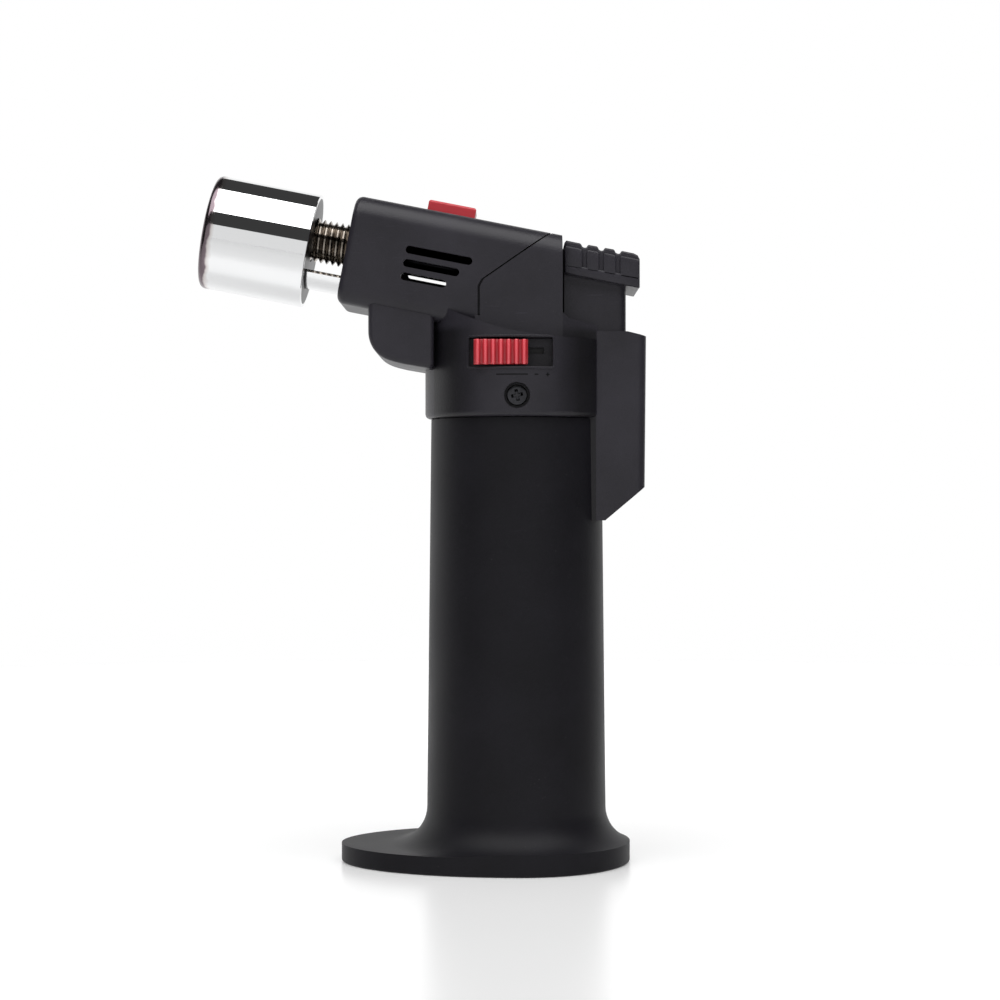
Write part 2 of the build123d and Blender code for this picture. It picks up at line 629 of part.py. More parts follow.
def gas_jet():
    """Jet nozzle in the tube's rear end, its elbow block, and the pipe below it."""
    jet = rod(TUBE_BORE_R - 0.02, 31, TUBE_REAR, direction="X") + rod(3.6, TUBE_REAR, 38.2, direction="X")
    jet += rod(1.2, 29, 31.1, direction="X")
    jet += block((38.0, JET_PIPE_X + 2.4), (-2.4, 2.4), (-2.6, 2.6))
    jet += rod(PIPE_R, -7.1, -2.4, at=(JET_PIPE_X, 0))
    jet -= rod(0.35, 28, JET_PIPE_X, direction="X")
    return on_head(Pos(0, 0, BURNER_UP) * (jet - rod(0.45, -8, 0, at=(JET_PIPE_X, 0))))


def burner_bracket():
    plate = head_prism(WALL + 0.1, 16.2, 18.2)
    plate -= rod(TUBE_R + 0.02, 0, 30, direction="X", at=(0, BURNER_UP))
    return on_head(plate - rod(1.22, 0, 30, direction="X", at=(0, ELECTRODE_DOWN)))


def ceramic_sleeve():
    sleeve = rod(1.2, -6, 22, direction="X", at=(0, ELECTRODE_DOWN))
    return on_head(sleeve - rod(0.42, -BIG, BIG, direction="X", at=(0, ELECTRODE_DOWN)))


def spark_electrode():
    points = ((ELECTRODE_REAR, 0, ELECTRODE_DOWN), (-9.5, 0, ELECTRODE_DOWN), (-11.0, 0, -3.2))
    return on_head(tube_along(points, 1.0, 0.4))


# ---------------------------------------------------------------- controls


def cap_prism(drop, half):
    """The trigger's cap, lowered by drop."""
    points = ((CAP_FRONT_X, 127.8), (CAP_FRONT_X, CAP_TOP_Z), (25.2, 132.3),
              (CAP_BACK_X, 130.8), (CAP_BACK_X, 124.7))
    return side_prism([(x, z - drop) for x, z in points], half)


def trigger():
    cap = cap_prism(0, CAP_HALF)
    top_edges = cap.edges().filter_by(lambda edge: abs(edge.center().Y) > 5 and edge.center().Z > 133)
    cap = fillet(top_edges.filter_by(lambda edge: edge.length > 10), 2.0)
    for centre in (14.6, 18.2, 21.8):
        top_z = CAP_TOP_Z - CAP_SLOPE * (centre - CAP_FRONT_X)
        cap -= rod(0.7, -15, 15, direction="Y", at=(centre, top_z + 0.15))
    body = block((TRIGGER_FRONT_X, TRIGGER_BACK_X), (-TRIGGER_HALF, TRIGGER_HALF), (TRIGGER_FOOT_Z, 129))
    body = body & side_prism(((0, 0), (40, 0), (40, 123.9), (0, 131)), 20)
    upright = body.edges().filter_by(Axis.Z)
    body = fillet(upright, 1.2)
    body -= block((16.0, 19.4), (-6.8, 6.8), (TRIGGER_FOOT_Z - 1, 122))
    body -= block((TRIGGER_FRONT_X - 1, 11.2), (-3.0, 3.0), (TRIGGER_FOOT_Z - 1, TRIGGER_FOOT_Z + 0.8))
    tongue = block((TONGUE_X, TRIGGER_FRONT_X + 1), (-TONGUE_HALF, TONGUE_HALF),
                   (TONGUE_LOW_Z, TONGUE_HIGH_Z))
    return cap + body + tongue


def piezo_body():
    half_x = PIEZO_WIDE_X / 2
    half_y = PIEZO_LONG_Y / 2
    body = block((PIEZO_X - half_x, PIEZO_X + half_x), (-half_y, half_y), (PIEZO_LOW_Z, PIEZO_HIGH_Z))
    body = fillet(body.edges().filter_by(Axis.Z), 0.8)
    return body - block((PIEZO_X - 1.95, PIEZO_X + 1.95), (-3.65, 3.65), (90, BIG))


def piezo_plunger():
    return block((PIEZO_X - 1.9, PIEZO_X + 1.9), (-3.6, 3.6), (97.5, TRIGGER_FOOT_Z))


def piezo_spring():
    return Pos(PIEZO_X, 0, 0) * coil(1.4, 0.25, 90.1, 97.4, 5)


def gas_lever():
    """A rocking lever: the trigger pushes its tail down, its fork lifts the stem."""
    rise = radians(LEVER_REST)
    front_arm = LEVER_X / cos(rise)
    tail = block((0, LEVER_REAR_ARM), (-LEVER_HALF, LEVER_HALF), (-TIP_R, 0.1))
    tail += rod(TIP_R, -LEVER_HALF, LEVER_HALF, direction="Y", at=(LEVER_REAR_ARM, 0))
    fork = block((-front_arm, 0), (-LEVER_HALF, LEVER_HALF), (-TIP_R, -0.15))
    fork += rod(TIP_R, -LEVER_HALF, LEVER_HALF, direction="Y", at=(-front_arm, 0))
    slot_end = -front_arm + 1.9
    fork -= Pos(slot_end - 10, 0, 0) * Box(20, 2.8, 6)
    hub = rod(1.9, -LEVER_HALF, LEVER_HALF, direction="Y")
    lever = tail + fork + hub - rod(PIN_R + RUN_GAP, -9, 9, direction="Y")
    return Pos(LEVER_X, 0, LEVER_Z) * Rot(0, -LEVER_REST, 0) * lever


def lever_pin():
    return rod(PIN_R, -9.5, 9.5, direction="Y", at=(LEVER_X, LEVER_Z))


def gas_hose():
    top = head_point(JET_PIPE_X, 0, BURNER_UP - 2.7)
    bend_z = 114.0
    bend_x = top[0] - tan(radians(HEAD_TILT)) * (top[2] - bend_z)
    points = ((-VALVE_NECK_R - 0.3, 0, PIPE_Z), (-12.2, 0, PIPE_Z), (bend_x, 0, bend_z), top)
    hose = tube_along(points, (3.0, 8.0), HOSE_R)
    return hose - tube_along(points, (3.0, 8.0), PIPE_R + 0.05)


def ignition_wire():
    start = head_point(ELECTRODE_REAR + 0.2, 0, ELECTRODE_DOWN)
    points = (start, (-15.0, 1.5, 121.2), (-7.2, 5.0, 119.0), (-4.2, 8.8, 112.0), (-3.2, 9.8, 104.0),
              (1.5, 10.0, 100.0), (11.0, 8.6, 99.4), (15.5, 4.5, 99.4),
              (PIEZO_X - PIEZO_WIDE_X / 2, 3.6, 99.4))
    return tube_along(points, (6.0, 5.0, 5.0, 4.0, 3.0, 4.0, 2.0), WIRE_R)


MAKERS = {
    "flared_foot": flared_foot,
    "handle_casing": handle_casing,
    "base_cover": base_cover,
    "base_screws": base_screws,
    "tank_ring": tank_ring,
    "fuel_tank": fuel_tank,
    "tank_cap": tank_cap,
    "refill_valve_body": refill_valve_body,
    "refill_stem": refill_stem,
    "refill_spring": refill_spring,
    "outlet_valve_body": outlet_valve_body,
    "valve_stem": valve_stem,
    "valve_spring": valve_spring,
    "gas_filter": gas_filter,
    "fuel_wick": fuel_wick,
    "flow_wheel": flow_wheel,
    "flame_knob": flame_knob,
    "slider_rack": slider_rack,
    "nose_cover": nose_cover,
    "lock_button": lock_button,
    "left_shell": lambda: body_shell(-1),
    "right_shell": lambda: body_shell(1),
    "collar_screws": collar_screws,
    "shell_screws": shell_screws,
    "nozzle_guard": nozzle_guard,
    "guard_neck": guard_neck,
    "burner_tube": burner_tube,
    "burner_nut": burner_nut,
    "flame_disc": flame_disc,
    "gas_jet": gas_jet,
    "burner_bracket": burner_bracket,
    "ceramic_sleeve": ceramic_sleeve,
    "spark_electrode": spark_electrode,
    "trigger": trigger,
    "piezo_body": piezo_body,
    "piezo_plunger": piezo_plunger,
    "piezo_spring": piezo_spring,
    "gas_lever": gas_lever,
    "lever_pin": lever_pin,
    "gas_hose": gas_hose,
    "ignition_wire": ignition_wire,
}

os.makedirs("parts", exist_ok=True)
for name, make in MAKERS.items():
    export_step(make(), f"parts/{name}.step")
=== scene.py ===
"""The looks of a hand-held butane torch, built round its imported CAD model.

Everything is in metres in the model's own frame: +Z up the handle, the burner towards -X.
The burner leans, so its parts are made along +X in the head's frame and then set in place.
"""
import json
import math

import bmesh
import bpy
from mathutils import Matrix, Vector


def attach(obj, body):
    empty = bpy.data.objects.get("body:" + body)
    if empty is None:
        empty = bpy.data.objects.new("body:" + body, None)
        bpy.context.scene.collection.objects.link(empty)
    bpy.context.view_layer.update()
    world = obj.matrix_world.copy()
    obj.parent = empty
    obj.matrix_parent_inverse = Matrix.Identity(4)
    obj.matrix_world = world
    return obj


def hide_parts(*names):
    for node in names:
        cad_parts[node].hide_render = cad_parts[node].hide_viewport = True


bl_info = {
    "name": "Butane torch looks",
    "version": (1, 0, 0),
    "blender": (4, 5, 0),
    "location": "3D View > Sidebar > Torch",
    "description": "Builds the guard, thread, controls, finishes and studio of a butane torch",
    "category": "Object",
}

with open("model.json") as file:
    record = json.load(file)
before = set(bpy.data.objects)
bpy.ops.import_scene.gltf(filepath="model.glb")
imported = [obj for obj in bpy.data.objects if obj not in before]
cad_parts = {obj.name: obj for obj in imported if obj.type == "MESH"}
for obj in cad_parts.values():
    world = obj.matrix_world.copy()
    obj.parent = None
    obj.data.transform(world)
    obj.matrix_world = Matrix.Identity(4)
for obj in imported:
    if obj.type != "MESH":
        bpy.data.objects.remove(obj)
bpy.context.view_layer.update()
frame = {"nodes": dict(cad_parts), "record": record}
MM = 0.001

# The burner's frame: how far it leans, and the middle of the guard's rear face.
HEAD_TILT = math.radians(11.0)
HEAD_ORIGIN = (-0.04486, 0, 0.13369)
HEAD_PLACE = Matrix.Translation(HEAD_ORIGIN) @ Matrix.Rotation(HEAD_TILT, 4, "Y")

# Steps in a full turn, and how near two coordinates are to count as one, in metres.
TURN_STEPS = 96
SAME = 1e-7

# The slider's knob: its ends along X, in millimetres, and its ridges.
KNOB_X = (-9.15, 2.3)
KNOB_RIDGES = 7
KNOB_PITCH = (KNOB_X[1] - KNOB_X[0]) / KNOB_RIDGES

# Painted shade on the band's sides, where the band curves away from the light, in metres. Each pair
# runs from none of it to all of it.
BAND_SHADE_SIDES = (0.0080, 0.0135)
BAND_SHADE_FRONT_X = (-0.0179, -0.0177)
BAND_SHADE_REAR_X = (0.0172, 0.0170)
BAND_SHADE_TOP_Z = (0.1165, 0.1150)

# The nodes that don't take their slot's usual finish, and the material made for each finish.
OWN_FINISH = {"flared_foot": "grip", "handle_casing": "grip", "guard_neck": "neck"}
MADE = {}


# ---------------------------------------------------------------- settings


class GuardSettings(bpy.types.PropertyGroup):
    """Sizes of the plated parts at the front."""

    radius: bpy.props.FloatProperty(
        name="Guard radius", description="Outer radius of the burner guard",
        default=0.01247, min=0.005, max=0.02, unit="LENGTH")
    wall: bpy.props.FloatProperty(
        name="Guard wall", description="Thickness of the guard's plated sheet",
        default=0.0008, min=0.0003, max=0.002, unit="LENGTH")
    length: bpy.props.FloatProperty(
        name="Guard length", description="Length of the guard along the burner",
        default=0.0229, min=0.01, max=0.04, unit="LENGTH")
    thread_pitch: bpy.props.FloatProperty(
        name="Thread pitch", description="Distance from crest to crest of the burner tube's thread",
        default=0.0013, min=0.0005, max=0.003, unit="LENGTH")


class FinishSettings(bpy.types.PropertyGroup):
    """Colours that a maker would change."""

    shell: bpy.props.FloatVectorProperty(
        name="Shell colour", description="Colour of the moulded body shells",
        default=(0.0185, 0.0170, 0.0225), size=3, min=0, max=1, subtype="COLOR")
    grip: bpy.props.FloatVectorProperty(
        name="Grip colour", description="Colour of the soft-touch grip and foot",
        default=(0.0062, 0.0058, 0.0080), size=3, min=0, max=1, subtype="COLOR")
    control: bpy.props.FloatVectorProperty(
        name="Control colour", description="Colour of the slider knob and lock button",
        default=(0.50, 0.020, 0.032), size=3, min=0, max=1, subtype="COLOR")
    plate: bpy.props.FloatVectorProperty(
        name="Plating colour", description="Colour of the bright plating",
        default=(0.77, 0.775, 0.78), size=3, min=0, max=1, subtype="COLOR")


class StudioSettings(bpy.types.PropertyGroup):
    """Camera and lights."""

    distance: bpy.props.FloatProperty(
        name="Camera distance", description="How far the camera stands from the handle's axis",
        default=0.482, min=0.2, max=2, unit="LENGTH")
    height: bpy.props.FloatProperty(
        name="Camera height", description="Height of the camera above the bench",
        default=0.07905, min=0, max=1, unit="LENGTH")
    lens: bpy.props.FloatProperty(
        name="Lens", description="Focal length on a 36 mm sensor, in millimetres",
        default=78.9, min=20, max=200)
    softbox: bpy.props.FloatProperty(
        name="Softbox", description="Brightness of the overhead softbox",
        default=3.4, min=0, max=50)
    backdrop: bpy.props.FloatProperty(
        name="Backdrop", description="Brightness of the white wall behind",
        default=1.0, min=0, max=50)


# ---------------------------------------------------------------- node groups


def new_group(name, inputs, outputs):
    """A shader node group with float or vector sockets, and its input and output nodes."""
    tree = bpy.data.node_groups.new(name, "ShaderNodeTree")
    for socket, kind, value in inputs:
        made = tree.interface.new_socket(socket, in_out="INPUT", socket_type=kind)
        if value is not None:
            made.default_value = value
    for socket, kind in outputs:
        tree.interface.new_socket(socket, in_out="OUTPUT", socket_type=kind)
    return tree, tree.nodes.new("NodeGroupInput"), tree.nodes.new("NodeGroupOutput")


def join(tree, *pairs):
    """Link each pair of sockets."""
    for source, target in pairs:
        tree.links.new(source, target)


def maths(tree, operation, first, second=0.0, clamp=False):
    """A maths node. Each operand is a socket or a number. Returns its output."""
    node = tree.nodes.new("ShaderNodeMath")
    node.operation = operation
    node.use_clamp = clamp
    for socket, value in zip(node.inputs, (first, second)):
        if isinstance(value, (int, float)):
            socket.default_value = value
        else:
            tree.links.new(value, socket)
    return node.outputs[0]


def scaled(tree, value, factor, offset):
    """A value times a factor, plus an offset. Returns its output."""
    result = maths(tree, "MULTIPLY_ADD", value, factor)
    result.node.inputs[2].default_value = offset
    return result


def noise(tree, vector, scale, detail=2.0, rough=0.5):
    """A noise texture. Returns its factor."""
    node = tree.nodes.new("ShaderNodeTexNoise")
    node.inputs["Detail"].default_value = detail
    node.inputs["Roughness"].default_value = rough
    tree.links.new(vector, node.inputs["Vector"])
    if isinstance(scale, (int, float)):
        node.inputs["Scale"].default_value = scale
    else:
        tree.links.new(scale, node.inputs["Scale"])
    return node.outputs["Fac"]


def ramp(tree, value, low, high, low_out=0.0, high_out=1.0):
    """A map range node, clamped. Returns its result."""
    node = tree.nodes.new("ShaderNodeMapRange")
    node.inputs["From Min"].default_value = low
    node.inputs["From Max"].default_value = high
    node.inputs["To Min"].default_value = low_out
    node.inputs["To Max"].default_value = high_out
    tree.links.new(value, node.inputs["Value"])
    return node.outputs["Result"]


def grain_group():
    """Moulded grain: a fine pebbled height, and a slow tone that varies round one."""
    tree, source, target = new_group(
        "Moulded grain",
        (("Vector", "NodeSocketVector", None), ("Grain Scale", "NodeSocketFloat", 2600.0),
         ("Tone Scale", "NodeSocketFloat", 60.0)),
        (("Height", "NodeSocketFloat"), ("Tone", "NodeSocketFloat")))
    fine = noise(tree, source.outputs["Vector"], source.outputs["Grain Scale"], 3.0, 0.6)
    slow = noise(tree, source.outputs["Vector"], source.outputs["Tone Scale"], 4.0, 0.55)
    join(tree, (ramp(tree, fine, 0.3, 0.7), target.inputs["Height"]),
         (ramp(tree, slow, 0.25, 0.75), target.inputs["Tone"]))
    return tree


def wear_group():
    """Handling wear: sparse hair scratches and faint rubbed patches."""
    tree, source, target = new_group(
        "Handling wear",
        (("Vector", "NodeSocketVector", None), ("Scratch Scale", "NodeSocketFloat", 220.0),
         ("Patch Scale", "NodeSocketFloat", 45.0)),
        (("Scratches", "NodeSocketFloat"), ("Patches", "NodeSocketFloat")))
    stretch = tree.nodes.new("ShaderNodeMapping")
    stretch.inputs["Rotation"].default_value = (0.3, 0.5, 0.2)
    stretch.inputs["Scale"].default_value = (1.0, 9.0, 14.0)
    join(tree, (source.outputs["Vector"], stretch.inputs["Vector"]))
    hairs = noise(tree, stretch.outputs["Vector"], source.outputs["Scratch Scale"], 1.0, 0.4)
    where = noise(tree, source.outputs["Vector"], source.outputs["Patch Scale"], 2.0, 0.5)
    sparse = ramp(tree, hairs, 0.70, 0.74)
    patches = ramp(tree, where, 0.5, 0.75)
    join(tree, (maths(tree, "MULTIPLY", sparse, patches), target.inputs["Scratches"]),
         (patches, target.inputs["Patches"]))
    return tree


def dust_group():
    """Dust: tiny pale specks, thinned out by a slow noise."""
    tree, source, target = new_group(
        "Fine dust",
        (("Vector", "NodeSocketVector", None), ("Speck Scale", "NodeSocketFloat", 900.0)),
        (("Specks", "NodeSocketFloat"),))
    cells = tree.nodes.new("ShaderNodeTexVoronoi")
    join(tree, (source.outputs["Vector"], cells.inputs["Vector"]),
         (source.outputs["Speck Scale"], cells.inputs["Scale"]))
    near = ramp(tree, cells.outputs["Distance"], 0.13, 0.06)
    thin = ramp(tree, noise(tree, source.outputs["Vector"], 170.0, 3.0, 0.6), 0.56, 0.66)
    join(tree, (maths(tree, "MULTIPLY", near, thin), target.inputs["Specks"]))
    return tree


def lathe_group():
    """Turning marks: fine rings round the head's axis, with a slow unevenness."""
    tree, source, target = new_group(
        "Turning marks",
        (("Vector", "NodeSocketVector", None), ("Ring Scale", "NodeSocketFloat", 1.0)),
        (("Height", "NodeSocketFloat"), ("Tone", "NodeSocketFloat")))
    squeeze = tree.nodes.new("ShaderNodeMapping")
    squeeze.inputs["Rotation"].default_value = (0.0, -HEAD_TILT, 0.0)
    squeeze.inputs["Scale"].default_value = (6000.0, 160.0, 160.0)
    join(tree, (source.outputs["Vector"], squeeze.inputs["Vector"]))
    rings = noise(tree, squeeze.outputs["Vector"], source.outputs["Ring Scale"], 2.0, 0.5)
    slow = noise(tree, source.outputs["Vector"], 350.0, 3.0, 0.6)
    join(tree, (rings, target.inputs["Height"]),
         (ramp(tree, slow, 0.3, 0.7), target.inputs["Tone"]))
    return tree


def tint_and_shade_group():
    """Heat tint near the guard's front lip, and painted shade where the thread runs into the head:
    how near a point is to a plane across the burner at Lip, broken up a little.
    """
    tree, source, target = new_group(
        "Heat tint and shade",
        (("Vector", "NodeSocketVector", None), ("Lip", "NodeSocketFloat", 0.0),
         ("Width", "NodeSocketFloat", 0.003)),
        (("Mask", "NodeSocketFloat"),))
    turn = tree.nodes.new("ShaderNodeMapping")
    turn.vector_type = "TEXTURE"
    turn.inputs["Location"].default_value = HEAD_PLACE.to_translation()
    turn.inputs["Rotation"].default_value = (0.0, HEAD_TILT, 0.0)
    parts = tree.nodes.new("ShaderNodeSeparateXYZ")
    join(tree, (source.outputs["Vector"], turn.inputs["Vector"]),
         (turn.outputs["Vector"], parts.inputs["Vector"]))
    past = maths(tree, "SUBTRACT", parts.outputs["X"], source.outputs["Lip"])
    share = maths(tree, "DIVIDE", past, source.outputs["Width"])
    rough = noise(tree, source.outputs["Vector"], 240.0, 2.0, 0.5)
    ragged = ramp(tree, rough, 0.2, 0.8, -0.25, 0.25)
    near = maths(tree, "SUBTRACT", 1.0, maths(tree, "ADD", share, ragged))
    join(tree, (ramp(tree, near, 0.0, 1.0), target.inputs["Mask"]))
    return tree


def groups():
    """The shared effects, each built once."""
    makers = {"Moulded grain": grain_group, "Handling wear": wear_group,
              "Fine dust": dust_group, "Turning marks": lathe_group, "Heat tint and shade": tint_and_shade_group}
    return {name: bpy.data.node_groups.get(name) or make() for name, make in makers.items()}


# ---------------------------------------------------------------- materials


def start_material(name):
    """A material with a Principled shader and object coordinates."""
    material = bpy.data.materials.new(name)
    material.use_nodes = True
    tree = material.node_tree
    tree.nodes.clear()
    shader = tree.nodes.new("ShaderNodeBsdfPrincipled")
    target = tree.nodes.new("ShaderNodeOutputMaterial")
    place = tree.nodes.new("ShaderNodeTexCoord")
    join(tree, (shader.outputs["BSDF"], target.inputs["Surface"]))
    return material, tree, shader, place.outputs["Object"]


def parts_of(material):
    """A finished material's node tree, its Principled shader and its object coordinates."""
    tree = material.node_tree
    shader = next(node for node in tree.nodes if node.type == "BSDF_PRINCIPLED")
    place = next(node for node in tree.nodes if node.type == "TEX_COORD")
    return tree, shader, place.outputs["Object"]


def effect(tree, name, vector, **values):
    """A shared effect placed in a material with its own values."""
    node = tree.nodes.new("ShaderNodeGroup")
    node.node_tree = groups()[name]
    join(tree, (vector, node.inputs["Vector"]))
    for socket, value in values.items():
        node.inputs[socket.replace("_", " ")].default_value = value
    return node.outputs


def blend_colours(tree, factor, first, second):
    """A colour mix. Each colour is a socket or three numbers. Returns its result."""
    node = tree.nodes.new("ShaderNodeMix")
    node.data_type = "RGBA"
    join(tree, (factor, node.inputs["Factor"]))
    for socket, colour in (("A", first), ("B", second)):
        target = next(s for s in node.inputs if s.name == socket and s.type == "RGBA")
        if isinstance(colour, bpy.types.NodeSocket):
            join(tree, (colour, target))
        else:
            target.default_value = (*colour, 1.0)
    return next(s for s in node.outputs if s.type == "RGBA")


def bump(tree, shader, height, distance):
    """Feed a height through a bump node to the shader's normal."""
    node = tree.nodes.new("ShaderNodeBump")
    node.inputs["Distance"].default_value = distance
    join(tree, (height, node.inputs["Height"]), (node.outputs["Normal"], shader.inputs["Normal"]))


def overlay(tree, shader, factor, colour):
    """Lay a colour over what already feeds the base colour."""
    base = shader.inputs["Base Color"]
    join(tree, (blend_colours(tree, factor, base.links[0].from_socket, colour), base))


def object_axis(tree, place, axis):
    """One coordinate of the surface point, in metres."""
    parts = tree.nodes.new("ShaderNodeSeparateXYZ")
    join(tree, (place, parts.inputs["Vector"]))
    return parts.outputs[axis]


def shade(colour, factor):
    """A colour made lighter or darker."""
    return tuple(min(1.0, channel * factor) for channel in colour)


def plastic(name, colour, rough, grain=2600.0, depth=0.00002, lift=1.3, dust=0.0, level=0.5):
    """Moulded plastic with pebbled grain, uneven gloss, rubbed patches and a little dust."""
    gloss_spread, scratch_share = 0.05, 0.35
    material, tree, shader, place = start_material(name)
    grained = effect(tree, "Moulded grain", place, Grain_Scale=grain)
    worn = effect(tree, "Handling wear", place)
    tone = blend_colours(tree, grained["Tone"], shade(colour, 2 - lift), shade(colour, lift))
    scratched = maths(tree, "MULTIPLY", worn["Scratches"], scratch_share)
    tone = blend_colours(tree, scratched, tone, shade(colour, 2.6))
    if dust:
        specks = maths(tree, "MULTIPLY", effect(tree, "Fine dust", place)["Specks"], dust)
        tone = blend_colours(tree, specks, tone, (0.45, 0.44, 0.43))
    uneven = scaled(tree, grained["Tone"], gloss_spread, rough - gloss_spread / 2)
    rubbed = maths(tree, "MULTIPLY", worn["Patches"], -gloss_spread)
    join(tree, (tone, shader.inputs["Base Color"]),
         (maths(tree, "ADD", uneven, rubbed, clamp=True), shader.inputs["Roughness"]))
    shader.inputs["Specular IOR Level"].default_value = level
    bump(tree, shader, grained["Height"], depth)
    return material


def shell_plastic(name, settings):
    """The shells' plastic, with painted shade darkening the band's sides where they curve away from
    the light.
    """
    material = plastic(name, settings.shell, 0.42, level=0.3, dust=0.04)
    tree, shader, place = parts_of(material)
    along, up = object_axis(tree, place, "X"), object_axis(tree, place, "Z")
    # Painted shade: the band is darkened towards its left and right sides, below its top.
    sides = ramp(tree, maths(tree, "ABSOLUTE", along), *BAND_SHADE_SIDES)
    ahead = ramp(tree, along, *BAND_SHADE_REAR_X)
    behind = ramp(tree, along, *BAND_SHADE_FRONT_X)
    low = ramp(tree, up, *BAND_SHADE_TOP_Z)
    band = maths(tree, "MULTIPLY", maths(tree, "MULTIPLY", sides, behind),
                 maths(tree, "MULTIPLY", ahead, low))
    overlay(tree, shader, maths(tree, "MULTIPLY", band, 0.8), shade(settings.shell, 0.15))
    return material


def ridged_plastic(name, settings):
    """The controls' plastic: a painted highlight on the knob's ridges, painted shade in the grooves
    between them.
    """
    flank, crest, hollow = 0.22, 0.08, 0.34
    material = plastic(name, settings.control, 0.36, grain=1800.0, depth=0.000008, lift=1.06)
    tree, shader, place = parts_of(material)
    along = maths(tree, "SUBTRACT", object_axis(tree, place, "X"), KNOB_X[0] * MM)
    turn = maths(tree, "FRACT", maths(tree, "DIVIDE", along, KNOB_PITCH * MM))
    off_centre = maths(tree, "ABSOLUTE", maths(tree, "SUBTRACT", turn, 0.5))
    on_knob = ramp(tree, object_axis(tree, place, "Y"), -0.0180, -0.0182)
    ridge = maths(tree, "MULTIPLY", ramp(tree, off_centre, flank, crest), on_knob)
    groove = maths(tree, "MULTIPLY", ramp(tree, off_centre, flank, hollow), on_knob)
    # Painted shade in the grooves and a painted highlight on the ridges, as the light falls across
    # them.
    overlay(tree, shader, groove, shade(settings.control, 0.62))
    overlay(tree, shader, ridge, (0.66, 0.085, 0.105))
    return material


def shaded_thread(name):
    """Dark-plated steel, with painted shade turning it near-black where it runs into the head."""
    material = metal(name, (0.42, 0.37, 0.32), 0.16, dark=0.25)
    tree, shader, place = parts_of(material)
    # Painted shade: near-black past the plane where the thread runs into the head.
    inside = effect(tree, "Heat tint and shade", place, Lip=0.0115, Width=-0.003)["Mask"]
    overlay(tree, shader, inside, (0.008, 0.008, 0.009))
    return material


def metal(name, colour, rough, dark=0.6, depth=0.000004, ring_scale=1.0):
    """Turned or plated metal with fine rings, and darker where the tone is low."""
    material, tree, shader, place = start_material(name)
    turned = effect(tree, "Turning marks", place, Ring_Scale=ring_scale)
    worn = effect(tree, "Handling wear", place, Scratch_Scale=400.0)
    tone = blend_colours(tree, turned["Tone"], shade(colour, dark), colour)
    rougher = scaled(tree, turned["Tone"], 0.12, rough - 0.06)
    scratched = maths(tree, "MULTIPLY", worn["Scratches"], 0.15)
    join(tree, (tone, shader.inputs["Base Color"]),
         (maths(tree, "ADD", rougher, scratched, clamp=True), shader.inputs["Roughness"]))
    shader.inputs["Metallic"].default_value = 1.0
    bump(tree, shader, turned["Height"], depth)
    return material


def bright_plate(settings, guard):
    """Mirror plating with faint smudges, tinted by heat near the guard's lip."""
    material, tree, shader, place = start_material("bright_plating")
    near = effect(tree, "Heat tint and shade", place, Lip=-guard.length, Width=0.0026)["Mask"]
    worn = effect(tree, "Handling wear", place, Scratch_Scale=500.0, Patch_Scale=120.0)
    tint = tree.nodes.new("ShaderNodeValToRGB")
    stops = ((0.0, settings.plate), (0.30, (0.60, 0.56, 0.55)),
             (0.45, (0.16, 0.125, 0.14)), (1.0, (0.13, 0.105, 0.115)))
    while len(tint.color_ramp.elements) < len(stops):
        tint.color_ramp.elements.new(0.5)
    for element, (position, colour) in zip(tint.color_ramp.elements, stops):
        element.position = position
        element.color = (*colour, 1.0)
    smudge = scaled(tree, worn["Patches"], 0.03, 0.025)
    oxide = maths(tree, "MULTIPLY", near, 0.25)
    join(tree, (near, tint.inputs["Fac"]),
         (tint.outputs["Color"], shader.inputs["Base Color"]),
         (maths(tree, "ADD", smudge, oxide, clamp=True), shader.inputs["Roughness"]))
    shader.inputs["Metallic"].default_value = 1.0
    return material


def dulled_plate(settings):
    """Bright plating whose back, behind the guard, is dulled dark grey."""
    material, tree, shader, place = start_material("neck_plating")
    back = effect(tree, "Heat tint and shade", place, Lip=0.0002, Width=0.0003)["Mask"]
    worn = effect(tree, "Handling wear", place, Scratch_Scale=500.0, Patch_Scale=260.0)
    mottled = blend_colours(tree, worn["Patches"], (0.028, 0.028, 0.030), (0.06, 0.06, 0.06))
    tone = blend_colours(tree, back, settings.plate, mottled)
    rough = maths(tree, "MULTIPLY", back, 0.32)
    join(tree, (tone, shader.inputs["Base Color"]),
         (maths(tree, "ADD", rough, 0.035), shader.inputs["Roughness"]))
    shader.inputs["Metallic"].default_value = 1.0
    return material


def translucent(name, colour, rough, share):
    """Milky plastic that lets some light through."""
    material = plastic(name, colour, rough, grain=1500.0, depth=0.00001)
    _, shader, _ = parts_of(material)
    shader.inputs["Transmission Weight"].default_value = share
    return material


def fibre(name, colour):
    """Felted fibre, matted in all directions, with painted shade in the hollows of its bump."""
    material, tree, shader, place = start_material(name)
    matted = effect(tree, "Moulded grain", place, Grain_Scale=5200.0, Tone_Scale=900.0)
    # Painted shade: the fibre is darker where its bump is low, in the hollows between fibres.
    tone = blend_colours(tree, matted["Height"], shade(colour, 0.6), colour)
    join(tree, (tone, shader.inputs["Base Color"]),
         (ramp(tree, matted["Tone"], 0.0, 1.0, 0.85, 1.0), shader.inputs["Roughness"]))
    bump(tree, shader, matted["Height"], 0.00012)
    return material


